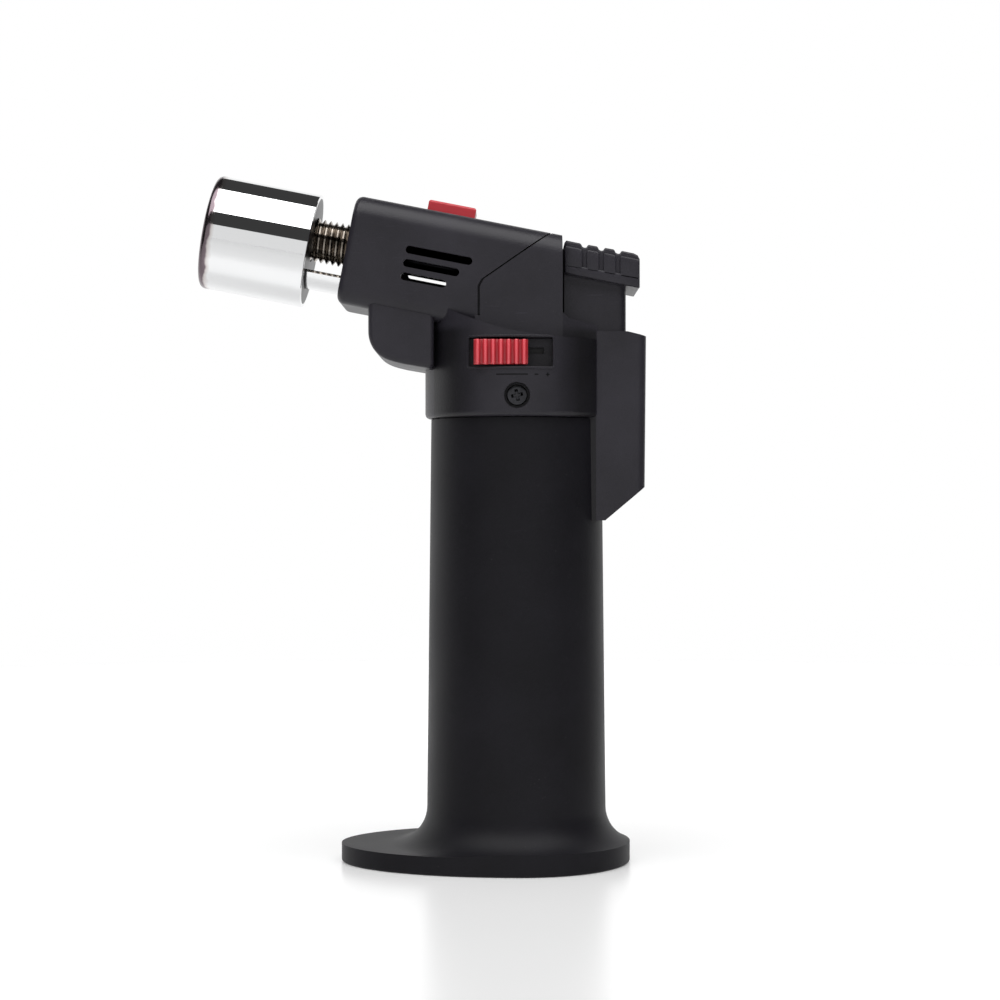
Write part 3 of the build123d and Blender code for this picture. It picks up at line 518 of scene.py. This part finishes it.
def finish_materials(settings, guard):
    """Every finish by name: the record's slots, and those that OWN_FINISH or a piece names."""
    return {
        "black_soft_touch": shell_plastic("moulded_shell", settings),
        "grip": plastic("soft_touch_grip", settings.grip, 0.50, grain=3400.0, depth=0.000012,
                        level=0.16, dust=0.05),
        "black_trigger": plastic("trigger_plastic", shade(settings.shell, 1.1), 0.42,
                                 grain=2200.0, level=0.3),
        "black_cover": plastic("cover_plastic", shade(settings.grip, 1.1), 0.5),
        "red_plastic": ridged_plastic("control_plastic", settings),
        "chrome_plate": bright_plate(settings, guard),
        "neck": dulled_plate(settings),
        "ink": plastic("mark_ink", (0.002, 0.002, 0.0025), 0.6, level=0.12),
        "dark_nickel": shaded_thread("dark_nickel"),
        "black_steel": metal("black_oxide_steel", (0.05, 0.05, 0.055), 0.22),
        "brass": metal("turned_brass", (0.78, 0.58, 0.28), 0.26, dark=0.7),
        "spring_steel": metal("spring_steel", (0.58, 0.58, 0.60), 0.28),
        "zinc_lever": metal("cast_zinc", (0.50, 0.50, 0.52), 0.48, depth=0.00001,
                            ring_scale=0.3),
        "frosted_nylon": translucent("frosted_nylon", (0.80, 0.80, 0.76), 0.42, 0.3),
        "white_acetal": plastic("white_acetal", (0.80, 0.80, 0.77), 0.4, lift=1.03),
        "black_igniter": plastic("igniter_case", (0.03, 0.03, 0.03), 0.3, depth=0.000006),
        "grey_igniter": plastic("igniter_plunger", (0.32, 0.32, 0.33), 0.35, lift=1.05),
        "white_ceramic": plastic("fired_ceramic", (0.86, 0.84, 0.79), 0.55, grain=4200.0,
                                 lift=1.04),
        "wire_jacket": plastic("wire_jacket", (0.03, 0.03, 0.03), 0.45, lift=1.1),
        "clear_hose": translucent("clear_hose", (0.66, 0.66, 0.60), 0.3, 0.5),
        "black_rubber": plastic("seal_rubber", (0.02, 0.02, 0.02), 0.75),
        "felt_filter": fibre("felted_fibre", (0.82, 0.79, 0.72)),
    }


def made_material(name):
    """The material of a finish that the finishes operator has made."""
    return bpy.data.materials[MADE[name]]


class TORCH_OT_finishes(bpy.types.Operator):
    """Make every finish and put it on the CAD pieces"""

    bl_idname = "torch.finishes"
    bl_label = "Finishes"

    def execute(self, context):
        made = finish_materials(context.scene.torch_finish, context.scene.torch_guard)
        MADE.update({slot: material.name for slot, material in made.items()})
        for row in frame["record"]["subparts"]:
            slot = OWN_FINISH.get(row["node"], row["material_slot"])
            mesh = frame["nodes"][row["node"]].data
            mesh.materials.clear()
            mesh.materials.append(made[slot])
        return {"FINISHED"}


# ---------------------------------------------------------------- mesh helpers


def new_mesh(name, mesh_data):
    """Turn a bmesh into a mesh, and free it."""
    mesh = bpy.data.meshes.new(name)
    mesh_data.to_mesh(mesh)
    mesh_data.free()
    return mesh


def new_object(name, data):
    """An object in the scene, at the origin."""
    made = bpy.data.objects.new(name, data)
    bpy.context.scene.collection.objects.link(made)
    return made


def take_in(mesh_data, part):
    """Add a finished bmesh to a piece, with its faces turned outwards."""
    bmesh.ops.recalc_face_normals(part, faces=part.faces)
    mesh = new_mesh("part", part)
    mesh_data.from_mesh(mesh)
    bpy.data.meshes.remove(mesh)


def finish_piece(name, mesh_data, slot, body, *nodes, place=None, sharp=35.0, finish=None):
    """Turn a bmesh into a piece that rides on a body and stands for CAD nodes.

    Edges sharper than sharp, in degrees, stay hard. The finish is the slot's own unless named.
    """
    if place is not None:
        bmesh.ops.transform(mesh_data, matrix=place, verts=mesh_data.verts)
    bmesh.ops.remove_doubles(mesh_data, verts=mesh_data.verts, dist=0.0000005)
    bmesh.ops.recalc_face_normals(mesh_data, faces=mesh_data.faces)
    for face in mesh_data.faces:
        face.smooth = True
    for edge in mesh_data.edges:
        if len(edge.link_faces) == 2 and edge.calc_face_angle() > math.radians(sharp):
            edge.smooth = False
    piece = new_object(name, new_mesh(name, mesh_data))
    piece.data.materials.append(made_material(finish or slot))
    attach(piece, body)
    if nodes:
        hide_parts(*nodes)


def closed_outline(mesh_data, points):
    """A closed ring of edges through x and z points in millimetres."""
    corners = [mesh_data.verts.new((x * MM, 0, z * MM)) for x, z in points]
    return corners + [mesh_data.edges.new(pair) for pair in zip(corners, corners[1:] + corners[:1])]


def turn_outline(mesh_data, points):
    """Turn a closed outline of x and z points, in millimetres, fully about the X axis."""
    bmesh.ops.spin(mesh_data, geom=closed_outline(mesh_data, points), cent=(0, 0, 0),
                   axis=(1, 0, 0), angle=math.tau, steps=TURN_STEPS, use_merge=True)


def round_edges(mesh_data, edges, width, segments=3):
    """Bevel some edges with a round section."""
    bmesh.ops.bevel(mesh_data, geom=edges, offset=width, offset_type="OFFSET",
                    affect="EDGES", segments=segments, profile=0.5, material=-1,
                    clamp_overlap=True)


def block(mesh_data, x, y, z):
    """A box from pairs of low and high limits in millimetres. Returns its vertices."""
    middle = Vector([(low + high) / 2 for low, high in (x, y, z)]) * MM
    scale = Matrix.Diagonal([(high - low) * MM for low, high in (x, y, z)] + [1])
    place = Matrix.Translation(middle) @ scale
    return bmesh.ops.create_cube(mesh_data, size=1, matrix=place)["verts"]


def arc_points(centre, radius, start, stop, count):
    """Points along an arc, as x and z pairs in millimetres, with angles in degrees."""
    angles = [math.radians(start + (stop - start) * k / (count - 1)) for k in range(count)]
    return [(centre[0] + radius * math.cos(a), centre[1] + radius * math.sin(a)) for a in angles]


# ---------------------------------------------------------------- guard and burner


class TORCH_OT_guard(bpy.types.Operator):
    """Turn the plated burner guard with its rounded lip"""

    bl_idname = "torch.guard"
    bl_label = "Burner guard"

    LIP, REAR_EDGE = 1.25, 0.12

    def execute(self, context):
        sizes = context.scene.torch_guard
        outer, wall, front = sizes.radius / MM, sizes.wall / MM, -sizes.length / MM
        centre = (front + self.LIP, outer - self.LIP)
        points = arc_points(centre, self.LIP, 180, 90, 10)
        points += [(-self.REAR_EDGE, outer), (0.0, outer - self.REAR_EDGE), (0.0, outer - wall)]
        points += arc_points(centre, self.LIP - wall, 90, 180, 8)
        mesh_data = bmesh.new()
        turn_outline(mesh_data, points)
        finish_piece("burner_guard", mesh_data, "chrome_plate", "torch_body", "nozzle_guard",
                     place=HEAD_PLACE)
        return {"FINISHED"}


class TORCH_OT_tube(bpy.types.Operator):
    """Turn the plain burner tube and wind its thread round it as a true helix"""

    bl_idname = "torch.tube"
    bl_label = "Threaded burner tube"

    ROOT, CREST, BORE = 4.05, 4.8, 3.0
    TIP_R, CORE_R, REAR_R, TIP_EDGE = 4.2, 3.9, 3.7, 0.2
    FIRST, TURNS, REAR, TIP = -1.0, 12, 36.0, -12.0
    THREAD_STEPS = 48
    # How far the tube lies above the guard's axis, in metres.
    RISE = 0.0026
    # The thread's section: how far along one pitch, and the radius there.
    THREAD = ((0.0, ROOT), (0.12, ROOT), (0.44, CREST - 0.06), (0.5, CREST),
              (0.56, CREST - 0.06), (0.88, ROOT), (1.0, ROOT))

    def execute(self, context):
        pitch = context.scene.torch_guard.thread_pitch / MM
        mesh_data = bmesh.new()
        start = self.FIRST - pitch / 2
        corners = [mesh_data.verts.new(((start + share * pitch) * MM, 0, radius * MM))
                   for share, radius in self.THREAD]
        edges = [mesh_data.edges.new(pair) for pair in zip(corners, corners[1:])]
        bmesh.ops.spin(mesh_data, geom=corners + edges, cent=(0, 0, 0), axis=(1, 0, 0),
                       dvec=(pitch * MM / self.THREAD_STEPS, 0, 0), angle=math.tau * self.TURNS,
                       steps=self.THREAD_STEPS * self.TURNS, use_merge=False)
        end = self.FIRST + pitch * self.TURNS
        turn_outline(mesh_data, [
            (self.TIP, self.BORE), (self.TIP, self.TIP_R - self.TIP_EDGE),
            (self.TIP + self.TIP_EDGE, self.TIP_R), (self.FIRST, self.TIP_R),
            (self.FIRST, self.CORE_R), (end, self.CORE_R), (end, self.REAR_R),
            (self.REAR, self.REAR_R), (self.REAR, self.BORE)])
        finish_piece("burner_thread", mesh_data, "dark_nickel", "torch_body", "burner_tube",
                     place=HEAD_PLACE @ Matrix.Translation((0, 0, self.RISE)))
        return {"FINISHED"}


# ---------------------------------------------------------------- controls and screws


def push_out(mesh_data, faces, axis, by):
    """Extrude faces and move what is new along an axis by millimetres. Returns its vertices."""
    grown = bmesh.ops.extrude_face_region(mesh_data, geom=faces)["geom"]
    new = [item for item in grown if isinstance(item, bmesh.types.BMVert)]
    bmesh.ops.translate(mesh_data, verts=new, vec=Vector(axis) * by * MM)
    return new


def side_plate(mesh_data, points, low_y, high_y):
    """A plate between two y planes from a flat outline of x and z points, in millimetres."""
    corners = [mesh_data.verts.new((x * MM, low_y * MM, z * MM)) for x, z in points]
    push_out(mesh_data, [mesh_data.faces.new(corners)], (0, 1, 0), high_y - low_y)


class TORCH_OT_knob(bpy.types.Operator):
    """Model the slider's knob with its seven rounded ridges and its stalk"""

    bl_idname = "torch.knob"
    bl_label = "Slider knob"

    LOW, HIGH, BACK, FACE, GROOVE = 107.7, 113.0, -18.4, -20.4, -19.85
    EDGE, EDGE_Y = 0.00022, -0.0195
    # A ridge's section: how far from its middle, in pitches, and its share of the full rise.
    RIDGE = ((-0.36, 0.0), (-0.28, 0.25), (-0.2, 0.8), (-0.12, 1.0),
             (0.12, 1.0), (0.2, 0.8), (0.28, 0.25), (0.36, 0.0))
    STALK = ((-7.0, 0.5), (-18.5, -13.2), (110.35, 111.35))

    def execute(self, context):
        mesh_data = bmesh.new()
        front = []
        for number in range(KNOB_RIDGES):
            middle = KNOB_X[0] + (number + 0.5) * KNOB_PITCH
            front += [(middle + share * KNOB_PITCH, self.GROOVE + rise * (self.FACE - self.GROOVE))
                      for share, rise in self.RIDGE]
        front[0] = (KNOB_X[0], self.GROOVE)
        front[-1] = (KNOB_X[1], self.GROOVE)
        outline = [(KNOB_X[0], self.BACK)] + front + [(KNOB_X[1], self.BACK)]
        corners = [mesh_data.verts.new((x * MM, y * MM, self.LOW * MM)) for x, y in outline]
        push_out(mesh_data, [mesh_data.faces.new(corners)], (0, 0, 1), self.HIGH - self.LOW)
        rims = [edge for edge in mesh_data.edges
                if abs(edge.verts[0].co.z - edge.verts[1].co.z) < SAME
                and edge.verts[0].co.y < self.EDGE_Y]
        round_edges(mesh_data, rims, self.EDGE, segments=2)
        block(mesh_data, *self.STALK)
        finish_piece("slider_knob", mesh_data, "red_plastic", "flame_slider", "flame_knob",
                     sharp=50.0)
        return {"FINISHED"}


class TORCH_OT_trigger(bpy.types.Operator):
    """Model the press trigger with its finned cap"""

    bl_idname = "torch.trigger"
    bl_label = "Press trigger"

    FRONT, BACK, HALF = 10.3, 23.7, 8.3
    STEM_Z, STEM_EDGE = (111.5, 128.5), 0.0019
    CAP_BACK, CAP_HALF, CAP_TOP, SLOPE = 26.5, 10.5, 135.0, 0.181
    CORE_INSET, CORE_EDGE, FIN_DEEP, FIN_EDGE = 0.55, 0.0009, 1.2, 0.0003
    # The grooves across the cap, the half width of a gap between fins, and a groove's section:
    # how far from its middle, and its share of the full depth.
    GROOVES, GROOVE_DEEP, FIN_GAP = (14.6, 18.2, 21.8), 0.75, 0.42
    GROOVE = ((-0.95, 0.0), (-0.7, 0.25), (-0.45, 0.85), (-0.15, 1.0),
              (0.15, 1.0), (0.45, 0.85), (0.7, 0.25), (0.95, 0.0))
    # The plate along each side below the fins, drawn a little inside the core's outline.
    LOW_PLATE = ((FRONT + 0.04, 127.84), (FRONT + 0.04, 129.9),
                 (CAP_BACK - 0.04, 127.1), (CAP_BACK - 0.04, 124.76))
    FOOT = ((11.3, BACK - 0.6), (-HALF + 0.6, HALF - 0.6), (110.6, 111.6))
    TONGUE = ((9.0, FRONT + 1), (-2.8, 2.8), (111.8, 133.9))

    def down_slope(self, height, x):
        """A line that starts at a height over the cap's front and falls with the cap."""
        return height - self.SLOPE * (x - self.FRONT)

    def cap_outline(self):
        """The cap's side outline: a scalloped top over a sloping underside."""
        points = [(self.FRONT, 127.8), (self.FRONT, self.CAP_TOP - 0.5)]
        points += [(self.FRONT + 0.4, self.CAP_TOP)]
        for middle in self.GROOVES:
            points += [(middle + share, self.down_slope(self.CAP_TOP, middle + share)
                        - self.GROOVE_DEEP * dip) for share, dip in self.GROOVE]
        return points + [(25.2, 132.25), (26.1, 131.8), (self.CAP_BACK, 131.0),
                         (self.CAP_BACK, 124.9), (26.3, 124.7)]

    def fin_outlines(self):
        """The side outlines of the fins between the grooves, with their upper corners cut."""
        gaps = [middle + gap for middle in self.GROOVES for gap in (-self.FIN_GAP, self.FIN_GAP)]
        ends = [self.FRONT + 0.02, *gaps, self.CAP_BACK - 0.05]
        shoulder, top, foot = self.CAP_TOP - 1.7, self.CAP_TOP - 1.2, 129.2
        for left, right in zip(ends[::2], ends[1::2]):
            heights = ((left, foot, left), (left, shoulder, left), (left + 0.3, top, left),
                       (right - 0.3, top, right), (right, shoulder, right), (right, foot, right))
            yield [(x, self.down_slope(height, corner)) for x, height, corner in heights]

    def add_side_plate(self, mesh_data, outline, side):
        """A plate on one side of the cap, with its outer rim rounded."""
        outer = side * self.CAP_HALF
        plate = bmesh.new()
        side_plate(plate, outline, side * (self.CAP_HALF - self.FIN_DEEP), outer)
        rim = [edge for edge in plate.edges
               if all(abs(vert.co.y - outer * MM) < SAME for vert in edge.verts)]
        round_edges(plate, rim, self.FIN_EDGE, segments=2)
        take_in(mesh_data, plate)

    def add_cap(self, mesh_data):
        """The cap's core, and the fins and plates that stand out from its two sides."""
        core = bmesh.new()
        half = self.CAP_HALF - self.CORE_INSET
        side_plate(core, self.cap_outline(), -half, half)
        ends = [edge for edge in core.edges
                if abs(edge.verts[0].co.y - edge.verts[1].co.y) < SAME
                and (edge.verts[0].co.z + edge.verts[1].co.z) / 2 > 0.1295]
        round_edges(core, ends, self.CORE_EDGE)
        for outline in (*self.fin_outlines(), self.LOW_PLATE):
            for side in (-1, 1):
                self.add_side_plate(mesh_data, outline, side)
        take_in(mesh_data, core)

    def add_stem(self, mesh_data):
        """The stem, rounded behind, with its top sloped along the cap's underside."""
        stem = bmesh.new()
        block(stem, (self.FRONT, self.BACK), (-self.HALF, self.HALF), self.STEM_Z)
        rear = [edge for edge in stem.edges if edge.verts[0].co.x > 0.02
                and abs(edge.verts[0].co.z - edge.verts[1].co.z) > MM]
        round_edges(stem, rear, self.STEM_EDGE, segments=5)
        for vert in stem.verts:
            if vert.co.z > 0.12:
                vert.co.z = self.down_slope(129.3, vert.co.x / MM) * MM
        take_in(mesh_data, stem)

    def execute(self, context):
        mesh_data = bmesh.new()
        self.add_cap(mesh_data)
        self.add_stem(mesh_data)
        for limits in (self.FOOT, self.TONGUE):
            part = bmesh.new()
            block(part, *limits)
            take_in(mesh_data, part)
        finish_piece("press_trigger", mesh_data, "black_trigger", "trigger_set", "trigger",
                     sharp=40.0)
        return {"FINISHED"}


class TORCH_OT_screws(bpy.types.Operator):
    """Model the cross-head collar screws, domed and recessed"""

    bl_idname = "torch.screws"
    bl_label = "Collar screws"

    HEIGHT, HEAD_R, FACE, SHANK_R, TIP = 101.2, 2.2, 19.5, 1.38, 12.4
    ARM, ARM_HALF, DEEP, TAPER = 1.25, 0.36, 1.0, 0.62
    RIM_R, HEAD_LOW = 1.75, -1.5
    # From the flat rim outwards and down: each step's radius and height.
    SIDES = ((2.02, -0.07), (HEAD_R, -0.28), (HEAD_R, HEAD_LOW), (SHANK_R, HEAD_LOW),
             (SHANK_R, TIP - FACE))
    # How far each side's cross is turned, in degrees.
    TURNED = {-1: 12, 1: 33}

    def screw(self, side):
        """One screw, drawn along +Z and set to point out of the torch's side."""
        mesh_data = bmesh.new()
        arm, half = self.ARM, self.ARM_HALF
        cross = [(arm, -half), (arm, half), (half, half), (half, arm),
                 (-half, arm), (-half, half), (-arm, half), (-arm, -half),
                 (-half, -half), (-half, -arm), (half, -arm), (half, -half)]
        inner = [mesh_data.verts.new((x * MM, y * MM, 0)) for x, y in cross]
        loop = [mesh_data.edges.new(pair) for pair in zip(inner, inner[1:] + inner[:1])]
        rim = bmesh.ops.create_circle(mesh_data, segments=48, radius=self.RIM_R * MM)["verts"]
        ring = [edge for edge in mesh_data.edges if edge.verts[0] in rim and edge.verts[1] in rim]
        bmesh.ops.triangle_fill(mesh_data, use_beauty=True, edges=loop + ring, normal=(0, 0, 1))
        grown = bmesh.ops.extrude_edge_only(mesh_data, edges=loop)["geom"]
        floor = [item for item in grown if isinstance(item, bmesh.types.BMVert)]
        bmesh.ops.scale(mesh_data, vec=(self.TAPER, self.TAPER, 1), verts=floor)
        bmesh.ops.translate(mesh_data, verts=floor, vec=(0, 0, -self.DEEP * MM))
        bmesh.ops.contextual_create(mesh_data, geom=[
            edge for edge in mesh_data.edges
            if edge.verts[0] in floor and edge.verts[1] in floor])
        for radius, height in self.SIDES:
            step = bmesh.ops.extrude_edge_only(mesh_data, edges=ring)["geom"]
            verts = [item for item in step if isinstance(item, bmesh.types.BMVert)]
            for vert in verts:
                flat = Vector((vert.co.x, vert.co.y, 0)).normalized() * radius * MM
                vert.co = (flat.x, flat.y, height * MM)
            ring = [item for item in step if isinstance(item, bmesh.types.BMEdge)
                    and item.verts[0] in verts and item.verts[1] in verts]
        bmesh.ops.contextual_create(mesh_data, geom=ring)
        turn = Matrix.Rotation(math.radians(self.TURNED[side]), 4, "Z")
        stand = Matrix.Rotation(math.radians(-90 * side), 4, "X")
        place = Matrix.Translation((0, side * self.FACE * MM, self.HEIGHT * MM)) @ stand @ turn
        bmesh.ops.transform(mesh_data, matrix=place, verts=mesh_data.verts)
        return mesh_data

    def execute(self, context):
        both = self.screw(-1)
        take_in(both, self.screw(1))
        finish_piece("collar_screw_pair", both, "black_steel", "torch_body", "collar_screws",
                     sharp=28.0)
        return {"FINISHED"}


class TORCH_OT_band_details(bpy.types.Operator):
    """Add the window's rim and the plain flow marks on the band"""

    bl_idname = "torch.band_details"
    bl_label = "Window rim and marks"

    BAND_R = 20.0
    WINDOW_X, WINDOW_Z, CORNER, RIM_WIDE = (-10.2, 7.6), (107.25, 113.5), 0.3, 0.45
    RIM_SUNK, RIM_THICK, RIM_EDGE = -0.0002, 0.4, 0.00008
    # Edges longer than this, in metres, are divided so that they can bend round the band.
    LONG = 0.002
    # The marks' ends along X and Z: a line, a dash, and the two bars of a plus.
    MARKS = ((-4.4, 2.3, 105.48, 105.72), (3.7, 4.5, 105.48, 105.72),
             (6.1, 6.9, 105.48, 105.72), (6.38, 6.62, 105.2, 106.0))

    def wrap(self, mesh_data):
        """Bend flat work onto the band: a vertex at depth y sits that far outside its face."""
        for vert in mesh_data.verts:
            reach = self.BAND_R * MM + vert.co.y
            flat = min(abs(vert.co.x), reach * 0.99)
            vert.co.y = -math.sqrt(reach * reach - flat * flat)

    def window_outline(self, grow):
        """The window's outline with round corners, grown outwards by millimetres."""
        inset = self.CORNER
        left, right = self.WINDOW_X[0] + inset, self.WINDOW_X[1] - inset
        low, high = self.WINDOW_Z[0] + inset, self.WINDOW_Z[1] - inset
        points = []
        for centre, start in (((right, high), 0), ((left, high), 90), ((left, low), 180),
                              ((right, low), 270)):
            points += arc_points(centre, inset + grow, start, start + 90, 5)
        return points

    def add_rim(self):
        """The raised rim round the window."""
        rim = bmesh.new()
        edges = []
        for grow in (0.0, self.RIM_WIDE):
            outline = closed_outline(rim, self.window_outline(grow))
            edges += [item for item in outline if isinstance(item, bmesh.types.BMEdge)]
        bmesh.ops.bridge_loops(rim, edges=edges)
        long = [edge for edge in rim.edges if edge.calc_length() > self.LONG]
        bmesh.ops.subdivide_edges(rim, edges=long, cuts=14)
        for vert in rim.verts:
            vert.co.y = self.RIM_SUNK
        top = set(push_out(rim, list(rim.faces), (0, 1, 0), self.RIM_THICK))
        outer = [edge for edge in rim.edges if edge.verts[0] in top and edge.verts[1] in top
                 and any(abs(face.normal.y) < 0.5 for face in edge.link_faces)]
        round_edges(rim, outer, self.RIM_EDGE, segments=1)
        self.wrap(rim)
        finish_piece("window_rim", rim, "black_soft_touch", "torch_body", sharp=30.0)

    def add_marks(self):
        """The plain marks below the window, just proud of the band."""
        marks = bmesh.new()
        for left, right, low, high in self.MARKS:
            verts = block(marks, (left, right), (-0.3, 0.02), (low, high))
            long = [edge for edge in marks.edges
                    if edge.verts[0] in verts and edge.calc_length() > self.LONG]
            bmesh.ops.subdivide_edges(marks, edges=long, cuts=12)
        self.wrap(marks)
        finish_piece("flow_marks", marks, "black_cover", "torch_body", sharp=30.0, finish="ink")

    def execute(self, context):
        self.add_rim()
        self.add_marks()
        return {"FINISHED"}


# ---------------------------------------------------------------- studio


def area_light(name, where, aim, width, height, radiance):
    """A soft white rectangular light of a given radiance, unseen by the camera."""
    data = bpy.data.lights.new(name, "AREA")
    data.shape = "RECTANGLE"
    data.size, data.size_y = width, height
    data.energy = radiance * math.pi * width * height
    lamp = new_object(name, data)
    lamp.location = where
    lamp.rotation_euler = (Vector(aim) - Vector(where)).to_track_quat("-Z", "Y").to_euler()
    lamp.visible_camera = False


def floor_material():
    """A white bench top, faintly glossy, and lit from within more strongly towards the back."""
    material, tree, shader, place = start_material("white_bench")
    tone = noise(tree, place, 8.0, 3.0, 0.5)
    white = blend_colours(tree, tone, (0.73, 0.73, 0.73), (0.76, 0.76, 0.76))
    join(tree, (white, shader.inputs["Base Color"]),
         (ramp(tree, tone, 0.0, 1.0, 0.27, 0.30), shader.inputs["Roughness"]))
    shader.inputs["Specular IOR Level"].default_value = 0.9
    depth = object_axis(tree, place, "Y")
    glow = maths(tree, "ADD", ramp(tree, depth, -0.36, -0.13, 0.0, 0.45),
                 ramp(tree, depth, -0.02, 0.25, 0.0, 0.55))
    lit = blend_colours(tree, glow, (0.06, 0.06, 0.06), (1.0, 1.0, 1.0))
    join(tree, (lit, shader.inputs["Emission Color"]))
    shader.inputs["Emission Strength"].default_value = 0.34
    return material


def white_surround():
    """A world that the camera sees white, and that lights the torch only dimly."""
    world = bpy.data.worlds.new("white_surround")
    world.use_nodes = True
    tree = world.node_tree
    tree.nodes.clear()
    seen = tree.nodes.new("ShaderNodeBackground")
    seen.inputs["Color"].default_value = (1.0, 1.0, 1.0, 1.0)
    dim = tree.nodes.new("ShaderNodeBackground")
    dim.inputs["Color"].default_value = (0.05, 0.05, 0.05, 1.0)
    rays = tree.nodes.new("ShaderNodeLightPath")
    mix = tree.nodes.new("ShaderNodeMixShader")
    target = tree.nodes.new("ShaderNodeOutputWorld")
    join(tree, (rays.outputs["Is Camera Ray"], mix.inputs[0]),
         (dim.outputs[0], mix.inputs[1]), (seen.outputs[0], mix.inputs[2]),
         (mix.outputs[0], target.inputs["Surface"]))
    return world


class TORCH_OT_studio(bpy.types.Operator):
    """Set up the bench, the soft lights, the white surround and the camera"""

    bl_idname = "torch.studio"
    bl_label = "Studio"

    BENCH_R, BENCH_Z = 0.6, -0.00005
    CAMERA_X, SENSOR = -0.0036, 36.0
    # Each card's place, the point it faces, its width, its height and its radiance.
    CARDS = {"front_card": ((0, -0.95, 0.10), (0, 0, 0.10), 1.9, 0.50, 0.85),
             "left_card": ((-0.70, 0.28, 0.12), (0, 0, 0.10), 0.36, 0.5, 1.1)}

    def add_bench(self):
        """The round bench, a hair below the foot."""
        disc = bmesh.new()
        bmesh.ops.create_circle(disc, cap_ends=True, cap_tris=False, segments=128,
                                radius=self.BENCH_R)
        bmesh.ops.translate(disc, verts=disc.verts, vec=(0, 0, self.BENCH_Z))
        bench = new_object("bench", new_mesh("bench", disc))
        bench.data.materials.append(floor_material())

    def execute(self, context):
        scene = context.scene
        studio = scene.torch_studio
        scene.view_settings.view_transform = "Standard"
        self.add_bench()
        area_light("softbox", (0, -0.284, 0.775), (0, 0, 0.137), 1.3, 0.742, studio.softbox)
        area_light("white_wall", (0, 0.9, 0.355), (0, 0, 0.355), 2.6, 1.02, studio.backdrop)
        for name, card in self.CARDS.items():
            area_light(name, *card)
        scene.world = white_surround()

        data = bpy.data.cameras.new("camera")
        data.lens, data.sensor_width = studio.lens, self.SENSOR
        camera = new_object("camera", data)
        camera.location = (self.CAMERA_X, -studio.distance, studio.height)
        camera.rotation_euler = (math.radians(90), 0, 0)
        scene.camera = camera
        return {"FINISHED"}


# ---------------------------------------------------------------- panel and registration


OPERATORS = (TORCH_OT_studio, TORCH_OT_finishes, TORCH_OT_guard, TORCH_OT_tube, TORCH_OT_knob,
             TORCH_OT_trigger, TORCH_OT_screws, TORCH_OT_band_details)


class TORCH_PT_sidebar(bpy.types.Panel):
    """The torch's settings and steps"""

    bl_idname = "TORCH_PT_sidebar"
    bl_label = "Butane torch"
    bl_space_type = "VIEW_3D"
    bl_region_type = "UI"
    bl_category = "Torch"

    def draw(self, context):
        layout = self.layout
        scene = context.scene
        for group in (scene.torch_guard, scene.torch_finish, scene.torch_studio):
            box = layout.box()
            for name in group.bl_rna.properties.keys():
                if name not in ("rna_type", "name"):
                    box.prop(group, name)
        for operator in OPERATORS:
            layout.operator(operator.bl_idname)


CLASSES = (GuardSettings, FinishSettings, StudioSettings, *OPERATORS, TORCH_PT_sidebar)


def register():
    """Register the classes and give the scene its settings."""
    for cls in CLASSES:
        bpy.utils.register_class(cls)
    bpy.types.Scene.torch_guard = bpy.props.PointerProperty(type=GuardSettings)
    bpy.types.Scene.torch_finish = bpy.props.PointerProperty(type=FinishSettings)
    bpy.types.Scene.torch_studio = bpy.props.PointerProperty(type=StudioSettings)


def unregister():
    """Take the settings and the classes away again."""
    del bpy.types.Scene.torch_studio
    del bpy.types.Scene.torch_finish
    del bpy.types.Scene.torch_guard
    for cls in reversed(CLASSES):
        bpy.utils.unregister_class(cls)


def main():
    register()
    for operator in OPERATORS:
        group, name = operator.bl_idname.split(".")
        getattr(getattr(bpy.ops, group), name)()


if __name__ == "__main__":
    main()
